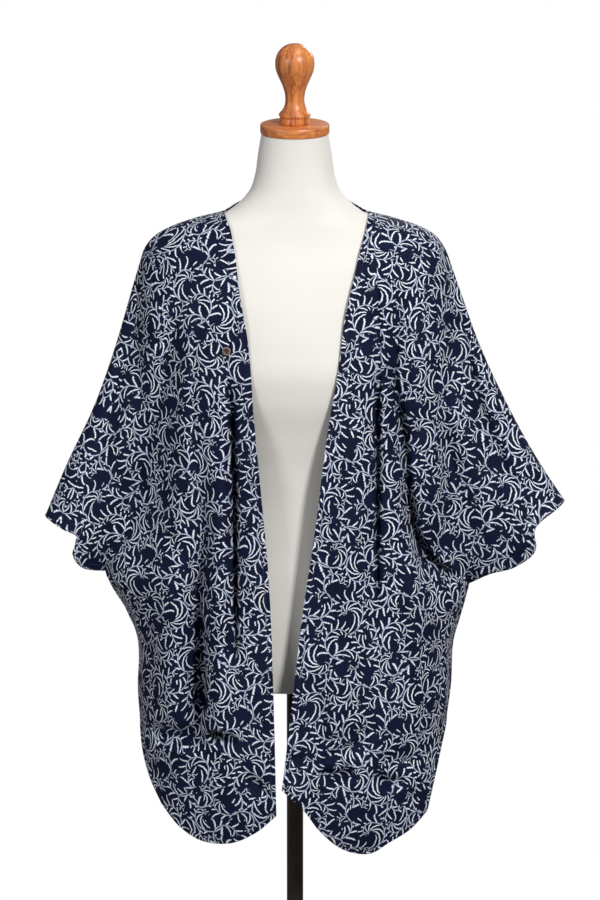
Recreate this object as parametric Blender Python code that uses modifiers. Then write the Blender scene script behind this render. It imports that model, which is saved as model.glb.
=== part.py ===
"""An open-front kimono jacket with grown-on sleeves, hung on a limbless dress form.

Metres, +Z up. The origin is the centre of the foot's underside, on the floor. The jacket opens
towards -Y, and +X is to the right of someone who looks at its front. Tables are in millimetres.

The cloth is three panels, each a wall of even thickness. A panel is a grid of places in the front
view, inside its own outline. Each place is moved forward or back by the depth of the body and of
the hanging sleeve there, and by the folds that cross it. The seams lie in one sheet, which is the
plane y = 0 under the body and curves forward in the sleeves.
"""

import math
from collections import namedtuple

import bmesh
import bpy
import numpy as np

MM = 0.001

# Cloth
WALL = 1.2
SEAM_GAP = 0.3
SEAM_TURN = 2.0  # the straight strip beside a seam, on each panel
CLOTH_OFF_FORM = 1.1  # from the form to the wall's inner face, at the grid's points
BODY_ROUND = 2.3  # exponent of the body's rounded sections
SLEEVE_EDGE = 80.0  # how far in from the over-arm line a sleeve rounds off
UNDERARM_PINCH = 46.0  # how far from the underarm point a sleeve closes up
JOIN = 3.0  # how softly the body's depth passes into the sleeve's
CALM_DEPTH = 40.0  # folds grow to their height where the cloth is this far from the seams' plane
SWING = 24.0  # how far forward a sleeve's outer end hangs
SWING_FROM = 190.0  # the distance from the middle where the swing starts
SWING_OVER = 150.0

# Grid of the panels
ROW_STEP = 28.0
PANEL_LENGTH = 750.0
PANEL_WIDTH = 180.0
UNDERARM_ROW = 0.28  # how far down a front's edge the row to the underarm point starts
SEAM_FOOT_ROW = 0.86  # and the row to the lower end of the side seam
EDGE_ROWS = (0.0, 0.8, 3.0, 8.0, 16.0, 30.0, 50.0)  # below the over-arm line
EDGE_COLUMNS = (32.0, 18.0, 8.0, 2.0, 0.0)  # in from the side seam
SIDE_COLUMNS = 12  # from a front's edge, or from the back of the neck, to the outer edge
NECK_COLUMNS = 3  # of the back, on each side
NECK_SHARE = 0.30  # of the back's half width that the neck's columns take
SHOULDER_SHARE = 0.45  # of the other columns that start between neck and shoulder's end
SHOULDER_END = 4  # the over-arm point at the shoulder's end

# Dress form and stand
FORM_ROUND = 2.15
FORM_AROUND = 36
NECK_FOOT = 1384.0  # the neck leans forward above this height
NECK_LEAN = math.radians(6)
CAP_RADIUS = 45.0
CAP_HEIGHT = 12.0
CAP_BEVEL = 1.5
POLE_RADIUS = 11.0
FOOT_RADIUS = 150.0
FOOT_EDGE = 10.0
BOSS_RADIUS = 24.0
BOSS_TOP = 34.0
PART_GAP = 0.3

# Button
BUTTON_RADIUS = 5.3
BUTTON_HEIGHT = 2.4
BUTTON_X = -87.0
BUTTON_Z = 1196.0

Point = namedtuple("Point", "x z")
FormSection = namedtuple("FormSection", "z half_width front back")
ClothSection = namedtuple("ClothSection", "z front back sleeve")
Side = namedtuple("Side", "sign overarm cuff seam lobe hem edge")
Fold = namedtuple("Fold", "panel height width sharp path")
Ring = namedtuple("Ring", "radius z")


def outline(*places):
    return tuple(Point(x, z) for x, z in places)


# The form's sections, from its flat underside to the top of its neck.
FORM = (
    FormSection(741, 158, 100, 110),
    FormSection(780, 165, 104, 118),
    FormSection(820, 163, 103, 115),
    FormSection(880, 145, 97, 101),
    FormSection(940, 125, 90, 85),
    FormSection(985, 119, 88, 79),
    FormSection(1030, 123, 92, 81),
    FormSection(1080, 136, 103, 88),
    FormSection(1130, 150, 119, 96),
    FormSection(1165, 157, 124, 100),
    FormSection(1200, 163, 118, 102),
    FormSection(1240, 174, 105, 101),
    FormSection(1270, 186, 92, 97),
    FormSection(1300, 194, 78, 91),
    FormSection(1314, 194, 70, 86),
    FormSection(1324, 188, 65, 82),
    FormSection(1334, 176, 61, 78),
    FormSection(1344, 156, 58, 74),
    FormSection(1352, 133, 56, 71),
    FormSection(1359, 107, 54, 69),
    FormSection(1364, 89, 53, 67),
    FormSection(1370, 80, 52, 66),
    FormSection(1376, 73, 51, 64),
    FormSection(1384, 65, 50, 61),
    FormSection(1396, 57, 48, 56),
    FormSection(1417, 51, 46, 51),
    FormSection(1440, 48, 44.5, 47.5),
    FormSection(1467, 43.5, 43.5, 44.5),
)

# How far the cloth stands forward and back of the seams' plane at the middle of the body, and half
# the thickness of a hanging sleeve.
CLOTH = (
    ClothSection(520, 116, 118, 0),
    ClothSection(570, 135, 122, 0),
    ClothSection(640, 146, 125, 0),
    ClothSection(750, 143, 126, 0),
    ClothSection(850, 135, 120, 10),
    ClothSection(900, 132, 117, 30),
    ClothSection(950, 130, 114, 40),
    ClothSection(1050, 127, 110, 43),
    ClothSection(1120, 124, 108, 42),
    ClothSection(1165, 121, 107, 41),
    ClothSection(1200, 116, 106, 39),
    ClothSection(1240, 107, 104, 34),
    ClothSection(1270, 96, 100, 28),
    ClothSection(1300, 81, 94, 18),
    ClothSection(1316, 73, 89, 10),
    ClothSection(1336, 64, 81, 0),
    ClothSection(1362, 57, 72, 0),
    ClothSection(1384, 52, 65, 0),
)

# Outlines in the front view, for the wearer's right side, which is at -X, and for the left. x is
# measured outwards from the middle.
RIGHT = Side(
    sign=-1,
    overarm=outline(
        (92, 1364), (131, 1354), (163, 1343), (184, 1331), (196, 1316), (203, 1295), (215, 1255),
        (232, 1197), (262, 1112), (303, 1025), (328, 965),
    ),
    cuff=outline((328, 965), (304, 951), (286, 941), (292, 918), (284, 902), (250, 889)),
    seam=outline((250, 889), (224, 838), (208, 790), (209, 730), (206, 683)),
    lobe=outline((206, 683), (202, 654), (192, 622), (175, 589)),
    hem=outline((24, 588), (52, 562), (90, 545), (124, 547), (149, 561), (175, 589)),
    edge=outline(
        (92, 1364), (86, 1354), (79, 1326), (71, 1270), (61, 1214), (52, 1105), (43, 1008),
        (35, 920), (28, 760), (24, 588),
    ),
)
LEFT = Side(
    sign=1,
    overarm=outline(
        (96, 1363), (131, 1354), (165, 1343), (185, 1331), (196, 1315), (205, 1291), (217, 1257),
        (242, 1189), (275, 1118), (315, 1045), (354, 985),
    ),
    cuff=outline((354, 985), (314, 950), (316, 926), (290, 901), (256, 888), (230, 870)),
    seam=outline((230, 870), (220, 830), (210, 790), (208, 740), (202, 690)),
    lobe=outline((202, 690), (192, 655), (185, 625), (174, 579)),
    hem=outline(
        (-17, 624), (11, 596), (32, 566), (72, 533), (100, 529), (124, 543), (150, 557), (174, 579),
    ),
    edge=outline(
        (96, 1363), (91, 1344), (84, 1320), (76, 1287), (65, 1243), (56, 1176), (41, 1085),
        (27, 972), (9, 850), (-4, 735), (-17, 624),
    ),
)
BACK_NECK = outline((0, 1382), (38, 1380), (68, 1375), (83, 1369), (94, 1363.5))
BACK_HEM_RISE = 28.0

# The folds' middles in the front view, where x is to the right. Height is away from the body.
FOLDS = (
    Fold("front_right", -12, 10, 1.5, ((-86, 1180), (-82, 1110), (-79, 980), (-77, 800))),
    Fold("front_right", 12, 17, 2.0, ((-104, 1080), (-102, 950), (-99, 820), (-96, 680))),
    Fold("front_right", -19, 14, 1.7, ((-120, 1040), (-125, 900), (-128, 790), (-132, 690))),
    Fold("front_right", 11, 22, 2.0, ((-162, 960), (-165, 840), (-168, 700))),
    Fold("front_right", -8, 10, 1.6, ((-196, 684), (-160, 694), (-117, 690))),
    Fold("front_right", -7, 9, 1.6, ((-72, 652), (-50, 634), (-30, 626))),
    Fold("front_right", -15, 20, 2.0, ((-150, 1270), (-168, 1120), (-184, 1010), (-205, 925))),
    Fold("front_right", -8, 12, 2.0, ((-200, 1270), (-228, 1150), (-262, 1040), (-284, 950))),
    Fold("front_right", 7, 14, 2.0, ((-186, 1220), (-212, 1110), (-240, 1000), (-262, 930))),
    Fold("front_left", -10, 11, 1.5, ((100, 1330), (106, 1262), (110, 1200), (110, 830))),
    Fold("front_left", -17, 18, 1.8, ((139, 1270), (130, 1160), (146, 1080), (155, 983))),
    Fold("front_left", -16, 15, 1.8, ((152, 1010), (168, 935), (190, 902), (216, 880))),
    Fold("front_left", 13, 14, 2.0, ((136, 1060), (144, 990), (156, 850), (160, 700))),
    Fold("front_left", -8, 11, 2.0, ((213, 1262), (240, 1155), (274, 1055), (300, 985))),
    Fold("front_left", 8, 16, 2.0, ((186, 1230), (206, 1120), (238, 1010), (262, 930))),
    Fold("front_left", -10, 11, 1.7, ((34, 678), (66, 692), (100, 700))),
    Fold("front_left", -11, 13, 1.8, ((108, 662), (140, 650), (168, 654))),
    Fold("front_left", -6, 9, 1.6, ((-14, 660), (12, 668))),
    Fold("front_left", 9, 18, 2.0, ((74, 1060), (66, 860), (58, 700))),
    Fold("back", -12, 17, 2.0, ((-62, 1290), (-66, 1100), (-74, 690))),
    Fold("back", 11, 20, 2.0, ((-22, 1200), (-24, 1000), (-28, 690))),
    Fold("back", -12, 16, 1.8, ((18, 1260), (20, 1000), (26, 690))),
    Fold("back", 10, 18, 2.0, ((72, 1220), (76, 1000), (84, 690))),
    Fold("back", -15, 20, 2.0, ((128, 1270), (134, 1100), (150, 960), (196, 880))),
    Fold("back", -15, 20, 2.0, ((-124, 1270), (-136, 1100), (-158, 960), (-212, 885))),
    Fold("back", 10, 18, 2.0, ((-136, 900), (-144, 800), (-150, 685))),
    Fold("back", 9, 18, 2.0, ((148, 880), (154, 780), (156, 685))),
    Fold("back", -7, 12, 2.0, ((-205, 1240), (-236, 1120), (-268, 1020), (-286, 950))),
    Fold("back", -7, 12, 2.0, ((206, 1250), (238, 1140), (282, 1040), (300, 980))),
)

# The finial's outline above the cap, from the centre of its top down to its foot.
FINIAL = (
    Ring(0, 105), Ring(7, 104.2), Ring(12, 102.4), Ring(16.5, 99.3), Ring(21.3, 94), Ring(24.5, 87),
    Ring(25.5, 79.5), Ring(24.9, 72), Ring(22.6, 64.7), Ring(19.3, 57.3), Ring(16.1, 50),
    Ring(13.7, 42.4), Ring(12.5, 35), Ring(12.7, 27.6), Ring(14.3, 22), Ring(16.9, 17.4),
    Ring(19.4, 14.6), Ring(20.6, 13), Ring(20.6, 10.5), Ring(19.7, 9.5), Ring(19.9, 5),
    Ring(19.7, 1), Ring(18.8, 0), Ring(0, 0),
)


def hermite(knots, points, tangent, at):
    """A cubic curve with the given slopes at its knots."""
    step = np.diff(knots)
    i = np.clip(np.searchsorted(knots, at, side="right") - 1, 0, len(step) - 1)
    f = (at - knots[i]) / step[i]
    size = step[i]
    if points.ndim > 1:
        f = f[..., None]
        size = size[..., None]
    start = points[i] * (1 + 2 * f) * (1 - f) ** 2 + tangent[i] * size * f * (1 - f) ** 2
    end = points[i + 1] * f * f * (3 - 2 * f) + tangent[i + 1] * size * f * f * (f - 1)
    return start + end


def through(knots, values, at):
    """Values at the given places, on a smooth curve through a table that doesn't overshoot."""
    knots = np.asarray(knots, float)
    values = np.asarray(values, float)
    slope = np.diff(values) / np.diff(knots)
    product = slope[:-1] * slope[1:]
    total = np.where(slope[:-1] + slope[1:] == 0, 1.0, slope[:-1] + slope[1:])
    inner = np.where(product > 0, 2 * product / total, 0.0)
    tangent = np.concatenate([slope[:1], inner, slope[-1:]])
    return hermite(knots, values, tangent, np.clip(at, knots[0], knots[-1]))


def lengths(points):
    """The distance along a line of points, from its first point to each."""
    gaps = np.linalg.norm(np.diff(points, axis=0), axis=1)
    return np.concatenate([[0.0], np.cumsum(gaps)])


def curve(points, share, sign=1):
    """Places at the given shares of the length of a smooth curve through outline points."""
    points = np.array([(sign * p.x, p.z) for p in points], float)
    knots = lengths(points)
    step = np.diff(knots)
    slope = np.diff(points, axis=0) / step[:, None]
    weight = (step[1:] / (step[:-1] + step[1:]))[:, None]
    inner = slope[:-1] * weight + slope[1:] * (1 - weight)
    tangent = np.concatenate([slope[:1], inner, slope[-1:]])
    line = hermite(knots, points, tangent, np.linspace(0.0, knots[-1], 300))
    measure = lengths(line) / lengths(line)[-1]
    return np.stack([np.interp(share, measure, line[:, k]) for k in range(2)], axis=-1)


def from_line(x, z, line):
    """Each place's distance from a line of points, and the share of the line before its foot."""
    line = np.asarray(line, float)
    place = np.stack([x, z], axis=-1)
    along = lengths(line)
    best = np.full(x.shape, np.inf)
    share = np.zeros(x.shape)
    for start, end, here, there in zip(line, line[1:], along, along[1:]):
        run = end - start
        f = np.clip(((place - start) @ run) / (run @ run), 0.0, 1.0)
        away = np.linalg.norm(place - start - f[..., None] * run, axis=-1)
        share = np.where(away < best, (here + f * (there - here)) / along[-1], share)
        best = np.minimum(best, away)
    return best, share


def arch(share):
    """A quarter circle's height, from 0 at its foot to 1 at its top."""
    return np.sqrt(1.0 - (1.0 - np.clip(share, 0.0, 1.0)) ** 2)


def body_half_width(z, side):
    """Half the body's width under the cloth: side seam, trunk, shoulder and neck."""
    seam = [(p.z, p.x) for p in side.seam[::-1]]
    pit_z, pit_x = seam[-1]
    trunk = [(pit_z + 70, pit_x - 34), (1060, 200), (1200, 204), (1270, 203)]
    shoulder = [(p.z, p.x) for p in side.overarm[SHOULDER_END::-1]]
    neck = [(s.z, s.half_width + 2) for s in FORM if s.z > side.overarm[0].z + 5]
    rows = seam + trunk + shoulder + neck
    return through([r[0] for r in rows], [r[1] for r in rows], z)


def relief(x, z, panel):
    """How far a panel's folds move it outwards."""
    total = np.zeros(x.shape)
    for fold in FOLDS:
        if fold.panel == panel:
            away, share = from_line(x, z, fold.path)
            fade = np.sin(math.pi * np.clip(share, 0.04, 0.96)) ** 0.5
            total += fold.height * fade * np.exp(-((away / fold.width) ** fold.sharp))
    return total


def side_depth(x, z, side, facing):
    """How far the cloth of one side stands from the seams' plane, without its folds."""
    knots = [s.z for s in CLOTH]
    out = x * side.sign
    middle = through(knots, [getattr(s, facing) for s in CLOTH], z)
    thick = through(knots, [s.sleeve for s in CLOTH], z)
    share = np.clip(np.abs(out) / body_half_width(z, side), 0.0, 1.0)
    body = middle * (1.0 - share**BODY_ROUND) ** (1.0 / BODY_ROUND)
    from_arm = from_line(out, z, curve(side.overarm, np.linspace(0.0, 1.0, 60)))[0]
    from_pit = np.hypot(out - side.seam[0].x, z - side.seam[0].z)
    sleeve = thick * arch(from_arm / SLEEVE_EDGE) * arch(from_pit / UNDERARM_PINCH)
    return (body**JOIN + sleeve**JOIN) ** (1.0 / JOIN)


def with_folds(plain, x, z, panel):
    return plain + np.clip(plain / CALM_DEPTH, 0.0, 1.0) * relief(x, z, panel)


def swung(points):
    """The grid with the sleeves' outer ends hanging forward, seams and all."""
    share = np.clip((np.abs(points[..., 0]) - SWING_FROM) / SWING_OVER, 0.0, 1.0)
    moved = points.copy()
    moved[..., 1] -= SWING * share * share * (3 - 2 * share)
    return moved


def row_places():
    """Where the rows start down a front's edge, as shares: to the underarm, the seam's foot, the hem."""
    near = np.array(EDGE_ROWS) / PANEL_LENGTH
    stops = (near[-1], UNDERARM_ROW, SEAM_FOOT_ROW, 1.0)
    parts = []
    for start, end in zip(stops, stops[1:]):
        count = max(2, round((end - start) * PANEL_LENGTH / ROW_STEP))
        parts.append(np.linspace(start, end, count + 1)[1:])
    return np.concatenate([near, parts[0]]), parts[1], parts[2]


def outer_line(side, rows):
    """The rows' outer ends: down the cuff, then the side seam, then the free lobe if it is given."""
    to_pit, to_foot = rows[0] / UNDERARM_ROW, rows[1] - UNDERARM_ROW
    parts = [
        curve(side.cuff, to_pit, side.sign),
        curve(side.seam, to_foot / (SEAM_FOOT_ROW - UNDERARM_ROW), side.sign),
    ]
    if len(rows) > 2:
        to_hem = (rows[2] - SEAM_FOOT_ROW) / (1.0 - SEAM_FOOT_ROW)
        parts.append(curve(side.lobe, to_hem, side.sign))
    return np.concatenate(parts)


def over_shoulder(side, columns):
    """Places on the over-arm line, where the shoulder has its own share of the columns."""
    along = lengths(np.array(side.overarm, float))
    end = along[SHOULDER_END] / along[-1]
    share = np.interp(columns, [0.0, SHOULDER_SHARE, 1.0], [0.0, end, 1.0])
    return curve(side.overarm, share, side.sign)


def column_places(count):
    """Columns from 0 to 1: even, then close together beside the outer edge."""
    near = 1.0 - np.array(EDGE_COLUMNS) / PANEL_WIDTH
    return np.concatenate([np.linspace(0.0, near[0], count)[:-1], near])


def patch(top, bottom, inner, outer, columns, down):
    """A grid of places between four border lines, row by row."""
    u = columns[:, None]
    t = down[:, None, None]
    chord = (1 - u) * inner[:, None] + u * outer[:, None]
    top_bow = top - ((1 - u) * top[0] + u * top[-1])
    foot_bow = bottom - ((1 - u) * bottom[0] + u * bottom[-1])
    return chord + (1 - t) ** 1.6 * top_bow + t**2.2 * foot_bow


def turned(points, sewn, away):
    """The grid with its first row ending squarely at the seam, where it is sewn.

    away is the side of the seams' plane that the panel is on, and sewn marks the row's sewn points.
    """
    edge = points[0].copy()
    strip = (points[0] + points[1]) / 2
    edge[sewn, 1] = away * SEAM_GAP / 2
    strip[sewn] = points[0][sewn]
    strip[sewn, 1] = away * (SEAM_GAP / 2 + SEAM_TURN)
    return np.concatenate([[edge, strip], points[1:]])


def turned_column(points, sewn, away):
    """The same for the grid's last column."""
    flipped = points.transpose(1, 0, 2)[::-1]
    return turned(flipped, sewn, away)[::-1].transpose(1, 0, 2)


def front_grid(panel, side):
    """The inner face of a front: rows from the over-arm line down, columns from its edge out."""
    rows = row_places()
    down = np.concatenate(rows)
    columns = column_places(SIDE_COLUMNS)
    top = over_shoulder(side, columns)
    bottom = curve(side.hem, columns, side.sign)
    inner = curve(side.edge, down, side.sign)
    places = patch(top, bottom, inner, outer_line(side, rows), columns, down)
    x, z = places[..., 0], places[..., 1]
    y = -with_folds(side_depth(x, z, side, "front"), x, z, panel)
    points = turned(np.stack([x, y, z], axis=-1), np.full(len(columns), True), -1)
    pit, foot = len(rows[0]), len(rows[0]) + len(rows[1])
    sewn = np.arange(len(points))
    return swung(turned_column(points, (sewn >= pit) & (sewn <= foot), -1))


def back_grid():
    """The inner face of the back: rows from neck and over-arm lines down, columns from -X to +X."""
    rows = row_places()[:2]
    down = np.concatenate(rows) / SEAM_FOOT_ROW
    neck = np.linspace(0.0, 1.0, NECK_COLUMNS + 1)
    half = column_places(SIDE_COLUMNS)
    share = np.concatenate([NECK_SHARE * neck[:-1], NECK_SHARE + (1 - NECK_SHARE) * half])
    tops = {}
    for side in (RIGHT, LEFT):
        collar = curve(BACK_NECK, neck[:-1], side.sign)
        tops[side.sign] = np.concatenate([collar, over_shoulder(side, half)])
    top = np.concatenate([tops[-1][:0:-1], tops[1]])
    columns = (np.concatenate([-share[:0:-1], share]) + 1) / 2
    inner = outer_line(RIGHT, rows)
    outer = outer_line(LEFT, rows)
    bottom = (1 - columns[:, None]) * inner[-1] + columns[:, None] * outer[-1]
    bottom[:, 1] += BACK_HEM_RISE * np.sin(math.pi * columns) ** 2
    places = patch(top, bottom, inner, outer, columns, down)
    x, z = places[..., 0], places[..., 1]
    plain = np.where(x < 0, side_depth(x, z, RIGHT, "back"), side_depth(x, z, LEFT, "back"))
    y = with_folds(plain, x, z, "back")
    off_neck = np.abs(2 * columns - 1) > NECK_SHARE - 1e-6
    points = turned(np.stack([x, y, z], axis=-1), off_neck, 1)
    sewn = np.arange(len(points)) >= len(rows[0])
    points = turned_column(points, sewn, 1)
    return swung(turned_column(points[:, ::-1], sewn, 1)[:, ::-1])


def material(name, colour, roughness, metallic=0.0):
    made = bpy.data.materials.new(name)
    made.use_nodes = True
    shader = made.node_tree.nodes["Principled BSDF"]
    shader.inputs["Base Color"].default_value = (*colour, 1.0)
    shader.inputs["Roughness"].default_value = roughness
    shader.inputs["Metallic"].default_value = metallic
    return made


def add_object(name, mesh, finish, parts):
    made = bpy.data.objects.new(name, mesh)
    made.data.materials.append(finish)
    parts.objects.link(made)
    return made


def grid_mesh(name, points, flip):
    """A sheet of quads through a grid of points in mm."""
    rows, columns = points.shape[:2]
    bm = bmesh.new()
    bmesh.ops.create_grid(bm, x_segments=columns - 1, y_segments=rows - 1, size=1.0)
    for vertex in bm.verts:
        j = round((vertex.co.x + 1) / 2 * (columns - 1))
        i = round((1 - vertex.co.y) / 2 * (rows - 1))
        vertex.co = points[i, j] * MM
    if flip:
        bmesh.ops.reverse_faces(bm, faces=bm.faces)
    mesh = bpy.data.meshes.new(name)
    bm.to_mesh(mesh)
    bm.free()
    mesh.shade_smooth()
    return mesh


def add_panel(name, points, flip, form, cloth, parts):
    """A cloth panel: its inner face kept clear of the form, and a wall outwards from it."""
    panel = add_object(name, grid_mesh(name, points, flip), cloth, parts)
    clear = panel.modifiers.new("Clear of form", "SHRINKWRAP")
    clear.target = form
    clear.wrap_method = "NEAREST_SURFACEPOINT"
    clear.wrap_mode = "OUTSIDE"
    clear.offset = CLOTH_OFF_FORM * MM
    wall = panel.modifiers.new("Wall", "SOLIDIFY")
    wall.thickness = WALL * MM
    wall.offset = 1.0
    return panel


def neck_axis(z):
    """How far forward the neck's middle is at a height, and its lean there."""
    span = FORM[-1].z - NECK_FOOT
    up = max(0.0, z - NECK_FOOT)
    return -math.tan(NECK_LEAN) * up * up / (2 * span), NECK_LEAN * up / span


def form_mesh():
    """The form: rounded sections from its flat underside to the top of its neck."""
    bm = bmesh.new()
    turns = [2 * math.pi * k / FORM_AROUND for k in range(FORM_AROUND)]
    rings = []
    for section in FORM:
        ring = []
        forward, lean = neck_axis(section.z)
        for turn in turns:
            c, s = math.cos(turn), math.sin(turn)
            reach = (abs(c) ** FORM_ROUND + abs(s) ** FORM_ROUND) ** (-1.0 / FORM_ROUND)
            y = (section.back if s > 0 else section.front) * reach * s
            place = (
                section.half_width * reach * c,
                forward + y * math.cos(lean),
                section.z + y * math.sin(lean),
            )
            ring.append(bm.verts.new([v * MM for v in place]))
        rings.append(ring)
    for low, high in zip(rings, rings[1:]):
        for k in range(FORM_AROUND):
            after = (k + 1) % FORM_AROUND
            bm.faces.new((low[k], low[after], high[after], high[k]))
    bm.faces.new(rings[0][::-1])
    bm.faces.new(rings[-1])
    mesh = bpy.data.meshes.new("form_body")
    bm.to_mesh(mesh)
    bm.free()
    mesh.shade_smooth()
    mesh.set_sharp_from_angle(angle=math.radians(50))
    return mesh


def turned_object(name, profile, base_z, steps, finish, parts):
    """A solid of revolution from a profile in mm that runs down its outer side."""
    mesh = bpy.data.meshes.new(name)
    bm = bmesh.new()
    verts = [bm.verts.new((ring.radius * MM, 0.0, ring.z * MM)) for ring in profile]
    for first, second in zip(verts, verts[1:]):
        bm.edges.new((first, second))
    bm.to_mesh(mesh)
    bm.free()
    made = add_object(name, mesh, finish, parts)
    made.location.z = base_z * MM
    screw = made.modifiers.new("Turn", "SCREW")
    screw.steps = screw.render_steps = steps
    screw.use_merge_vertices = True
    screw.merge_threshold = 1e-5
    screw.use_smooth_shade = True
    return made


def add_cylinder(name, radius, bottom, top, segments, bevel, finish, parts):
    bm = bmesh.new()
    height = (top - bottom) * MM
    bmesh.ops.create_cone(
        bm, cap_ends=True, segments=segments, radius1=radius * MM, radius2=radius * MM, depth=height
    )
    mesh = bpy.data.meshes.new(name)
    bm.to_mesh(mesh)
    bm.free()
    mesh.shade_smooth()
    mesh.set_sharp_from_angle(angle=math.radians(40))
    made = add_object(name, mesh, finish, parts)
    made.location.z = bottom * MM + height / 2
    if bevel:
        edge = made.modifiers.new("Rim", "BEVEL")
        edge.width = bevel * MM
        edge.segments = 2
        edge.limit_method = "ANGLE"
    return made


def set_on_neck(made, height):
    """Sets a round part square on the neck's top, at a height above it in mm."""
    forward, lean = neck_axis(FORM[-1].z)
    made.location = (
        0.0,
        (forward - height * math.sin(lean)) * MM,
        (FORM[-1].z + height * math.cos(lean)) * MM,
    )
    made.rotation_euler.x = lean


def add_button(panel_points, finish, parts):
    """The button, flat on the cloth near the right front's edge."""
    flat = panel_points.reshape(-1, 3)
    order = np.argsort(np.hypot(flat[:, 0] - BUTTON_X, flat[:, 2] - BUTTON_Z))[:12]
    near = flat[order]
    normal = np.linalg.svd(near - near.mean(axis=0))[2][2]
    normal = normal * -np.sign(normal[1])
    lean = (near - near.mean(axis=0)) @ normal
    start = np.array([BUTTON_X, 0.0, BUTTON_Z])
    start[1] = near[:, 1].mean()
    start[1] -= ((start - near.mean(axis=0)) @ normal) / normal[1]
    foot = start + normal * (lean.max() + WALL + PART_GAP)
    profile = (
        Ring(0, BUTTON_HEIGHT - 0.7), Ring(3.0, BUTTON_HEIGHT - 0.7), Ring(3.8, BUTTON_HEIGHT),
        Ring(4.7, BUTTON_HEIGHT), Ring(BUTTON_RADIUS, 1.6), Ring(BUTTON_RADIUS, 0.8), Ring(4.4, 0),
        Ring(0, 0),
    )
    made = turned_object("button", profile, 0.0, 24, finish, parts)
    made.location = foot * MM
    made.rotation_mode = "XYZ"
    made.rotation_euler = (
        math.acos(normal[2]) if normal[1] < 0 else -math.acos(normal[2]),
        0.0,
        math.atan2(normal[0], -normal[1]),
    )
    return made


def main():
    for old in list(bpy.data.objects):
        bpy.data.objects.remove(old, do_unlink=True)
    parts = bpy.data.collections.new("kimono_jacket_on_dress_form")
    bpy.context.scene.collection.children.link(parts)

    cloth = material("navy_cloth", (0.018, 0.023, 0.065), 0.8)
    linen = material("cream_linen", (0.88, 0.85, 0.78), 0.9)
    wood = material("turned_wood", (0.36, 0.13, 0.045), 0.35)
    steel = material("dark_steel", (0.05, 0.045, 0.045), 0.35, 0.9)
    shell = material("button_shell", (0.16, 0.08, 0.045), 0.45)

    form = add_object("form_body", form_mesh(), linen, parts)
    cap = add_cylinder("neck_cap", CAP_RADIUS, 0.0, CAP_HEIGHT, 40, CAP_BEVEL, wood, parts)
    finial = turned_object("finial", FINIAL, 0.0, 20, wood, parts)
    set_on_neck(cap, PART_GAP + CAP_HEIGHT / 2)
    set_on_neck(finial, PART_GAP + CAP_HEIGHT + PART_GAP)

    right = front_grid("front_right", RIGHT)
    add_panel("front_right", right, True, form, cloth, parts)
    add_panel("front_left", front_grid("front_left", LEFT), False, form, cloth, parts)
    add_panel("back", back_grid(), True, form, cloth, parts)
    add_button(right, shell, parts)

    foot = (
        Ring(0, BOSS_TOP), Ring(BOSS_RADIUS - 2, BOSS_TOP), Ring(BOSS_RADIUS, BOSS_TOP - 2),
        Ring(BOSS_RADIUS, 20), Ring(30, 16), Ring(FOOT_RADIUS - 8, FOOT_EDGE + 2),
        Ring(FOOT_RADIUS - 2, FOOT_EDGE), Ring(FOOT_RADIUS, FOOT_EDGE - 2), Ring(FOOT_RADIUS, 0),
        Ring(0, 0),
    )
    turned_object("stand_base", foot, 0.0, 48, steel, parts)
    pole_top = FORM[0].z - PART_GAP
    add_cylinder("pole", POLE_RADIUS, BOSS_TOP + PART_GAP, pole_top, 24, 0, steel, parts)


main()
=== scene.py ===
"""The look of an open-front kimono jacket on a limbless dress form.

Tables and shape functions are in millimetres, in the frame's axes: +Z is up, the jacket opens
towards -Y, and +X is to the right of someone who looks at its front. The cloth is worked out as
the solids are, on finer grids and with finer creases, and each panel is also laid out flat, so
that the print, the hems and the stitches follow the cut.
"""

import math
from collections import namedtuple

import bpy
import numpy as np
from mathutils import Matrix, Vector, noise
from mathutils.bvhtree import BVHTree


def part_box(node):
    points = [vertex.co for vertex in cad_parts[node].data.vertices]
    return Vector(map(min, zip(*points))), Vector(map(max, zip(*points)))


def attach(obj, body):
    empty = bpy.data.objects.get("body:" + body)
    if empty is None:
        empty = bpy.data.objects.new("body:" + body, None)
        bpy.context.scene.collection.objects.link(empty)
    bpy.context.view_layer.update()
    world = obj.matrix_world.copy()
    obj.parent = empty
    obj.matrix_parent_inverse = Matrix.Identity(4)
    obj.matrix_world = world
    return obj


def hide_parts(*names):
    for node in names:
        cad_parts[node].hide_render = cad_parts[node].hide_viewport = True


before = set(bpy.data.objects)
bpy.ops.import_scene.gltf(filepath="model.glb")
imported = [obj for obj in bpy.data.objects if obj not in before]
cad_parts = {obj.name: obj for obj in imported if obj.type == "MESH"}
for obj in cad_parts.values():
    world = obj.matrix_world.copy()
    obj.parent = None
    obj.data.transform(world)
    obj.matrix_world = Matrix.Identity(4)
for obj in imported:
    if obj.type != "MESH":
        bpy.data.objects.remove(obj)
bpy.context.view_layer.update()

MM = 0.001
BODY = "root"

# Cloth
THICKNESS = 0.7
HEM_THICKNESS = 0.55  # what a turned hem adds
HEM_WIDTH = 7.0
HEM_GROOVE = 0.3  # how deep the stitches pull a hem in
STITCH_IN = 5.6  # from a hem's edge to its stitches
STITCH_STEP = 3.4
STITCH_LENGTH = 2.3
STITCH_RADIUS = 0.3
SEAM_GAP = 0.12  # between two panels where they are sewn
SEAM_TURN = 1.2  # how far a panel runs square to its seam before it turns
CLOTH_OFF_FORM = 0.8
BODY_ROUND = 2.3  # 2 would make the cloth's level sections ellipses
SLEEVE_EDGE = 80.0  # how far from the over-arm line a sleeve has its full depth
UNDERARM_PINCH = 46.0  # and how far from the underarm
JOIN = 3.0  # how closely the cloth follows the deeper of body and sleeve
CALM_DEPTH = 40.0  # folds fade where the cloth is less deep than this
SWING = 24.0  # how far forward the sleeves' ends hang
SWING_FROM = 190.0  # from the middle
SWING_OVER = 150.0

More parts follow.
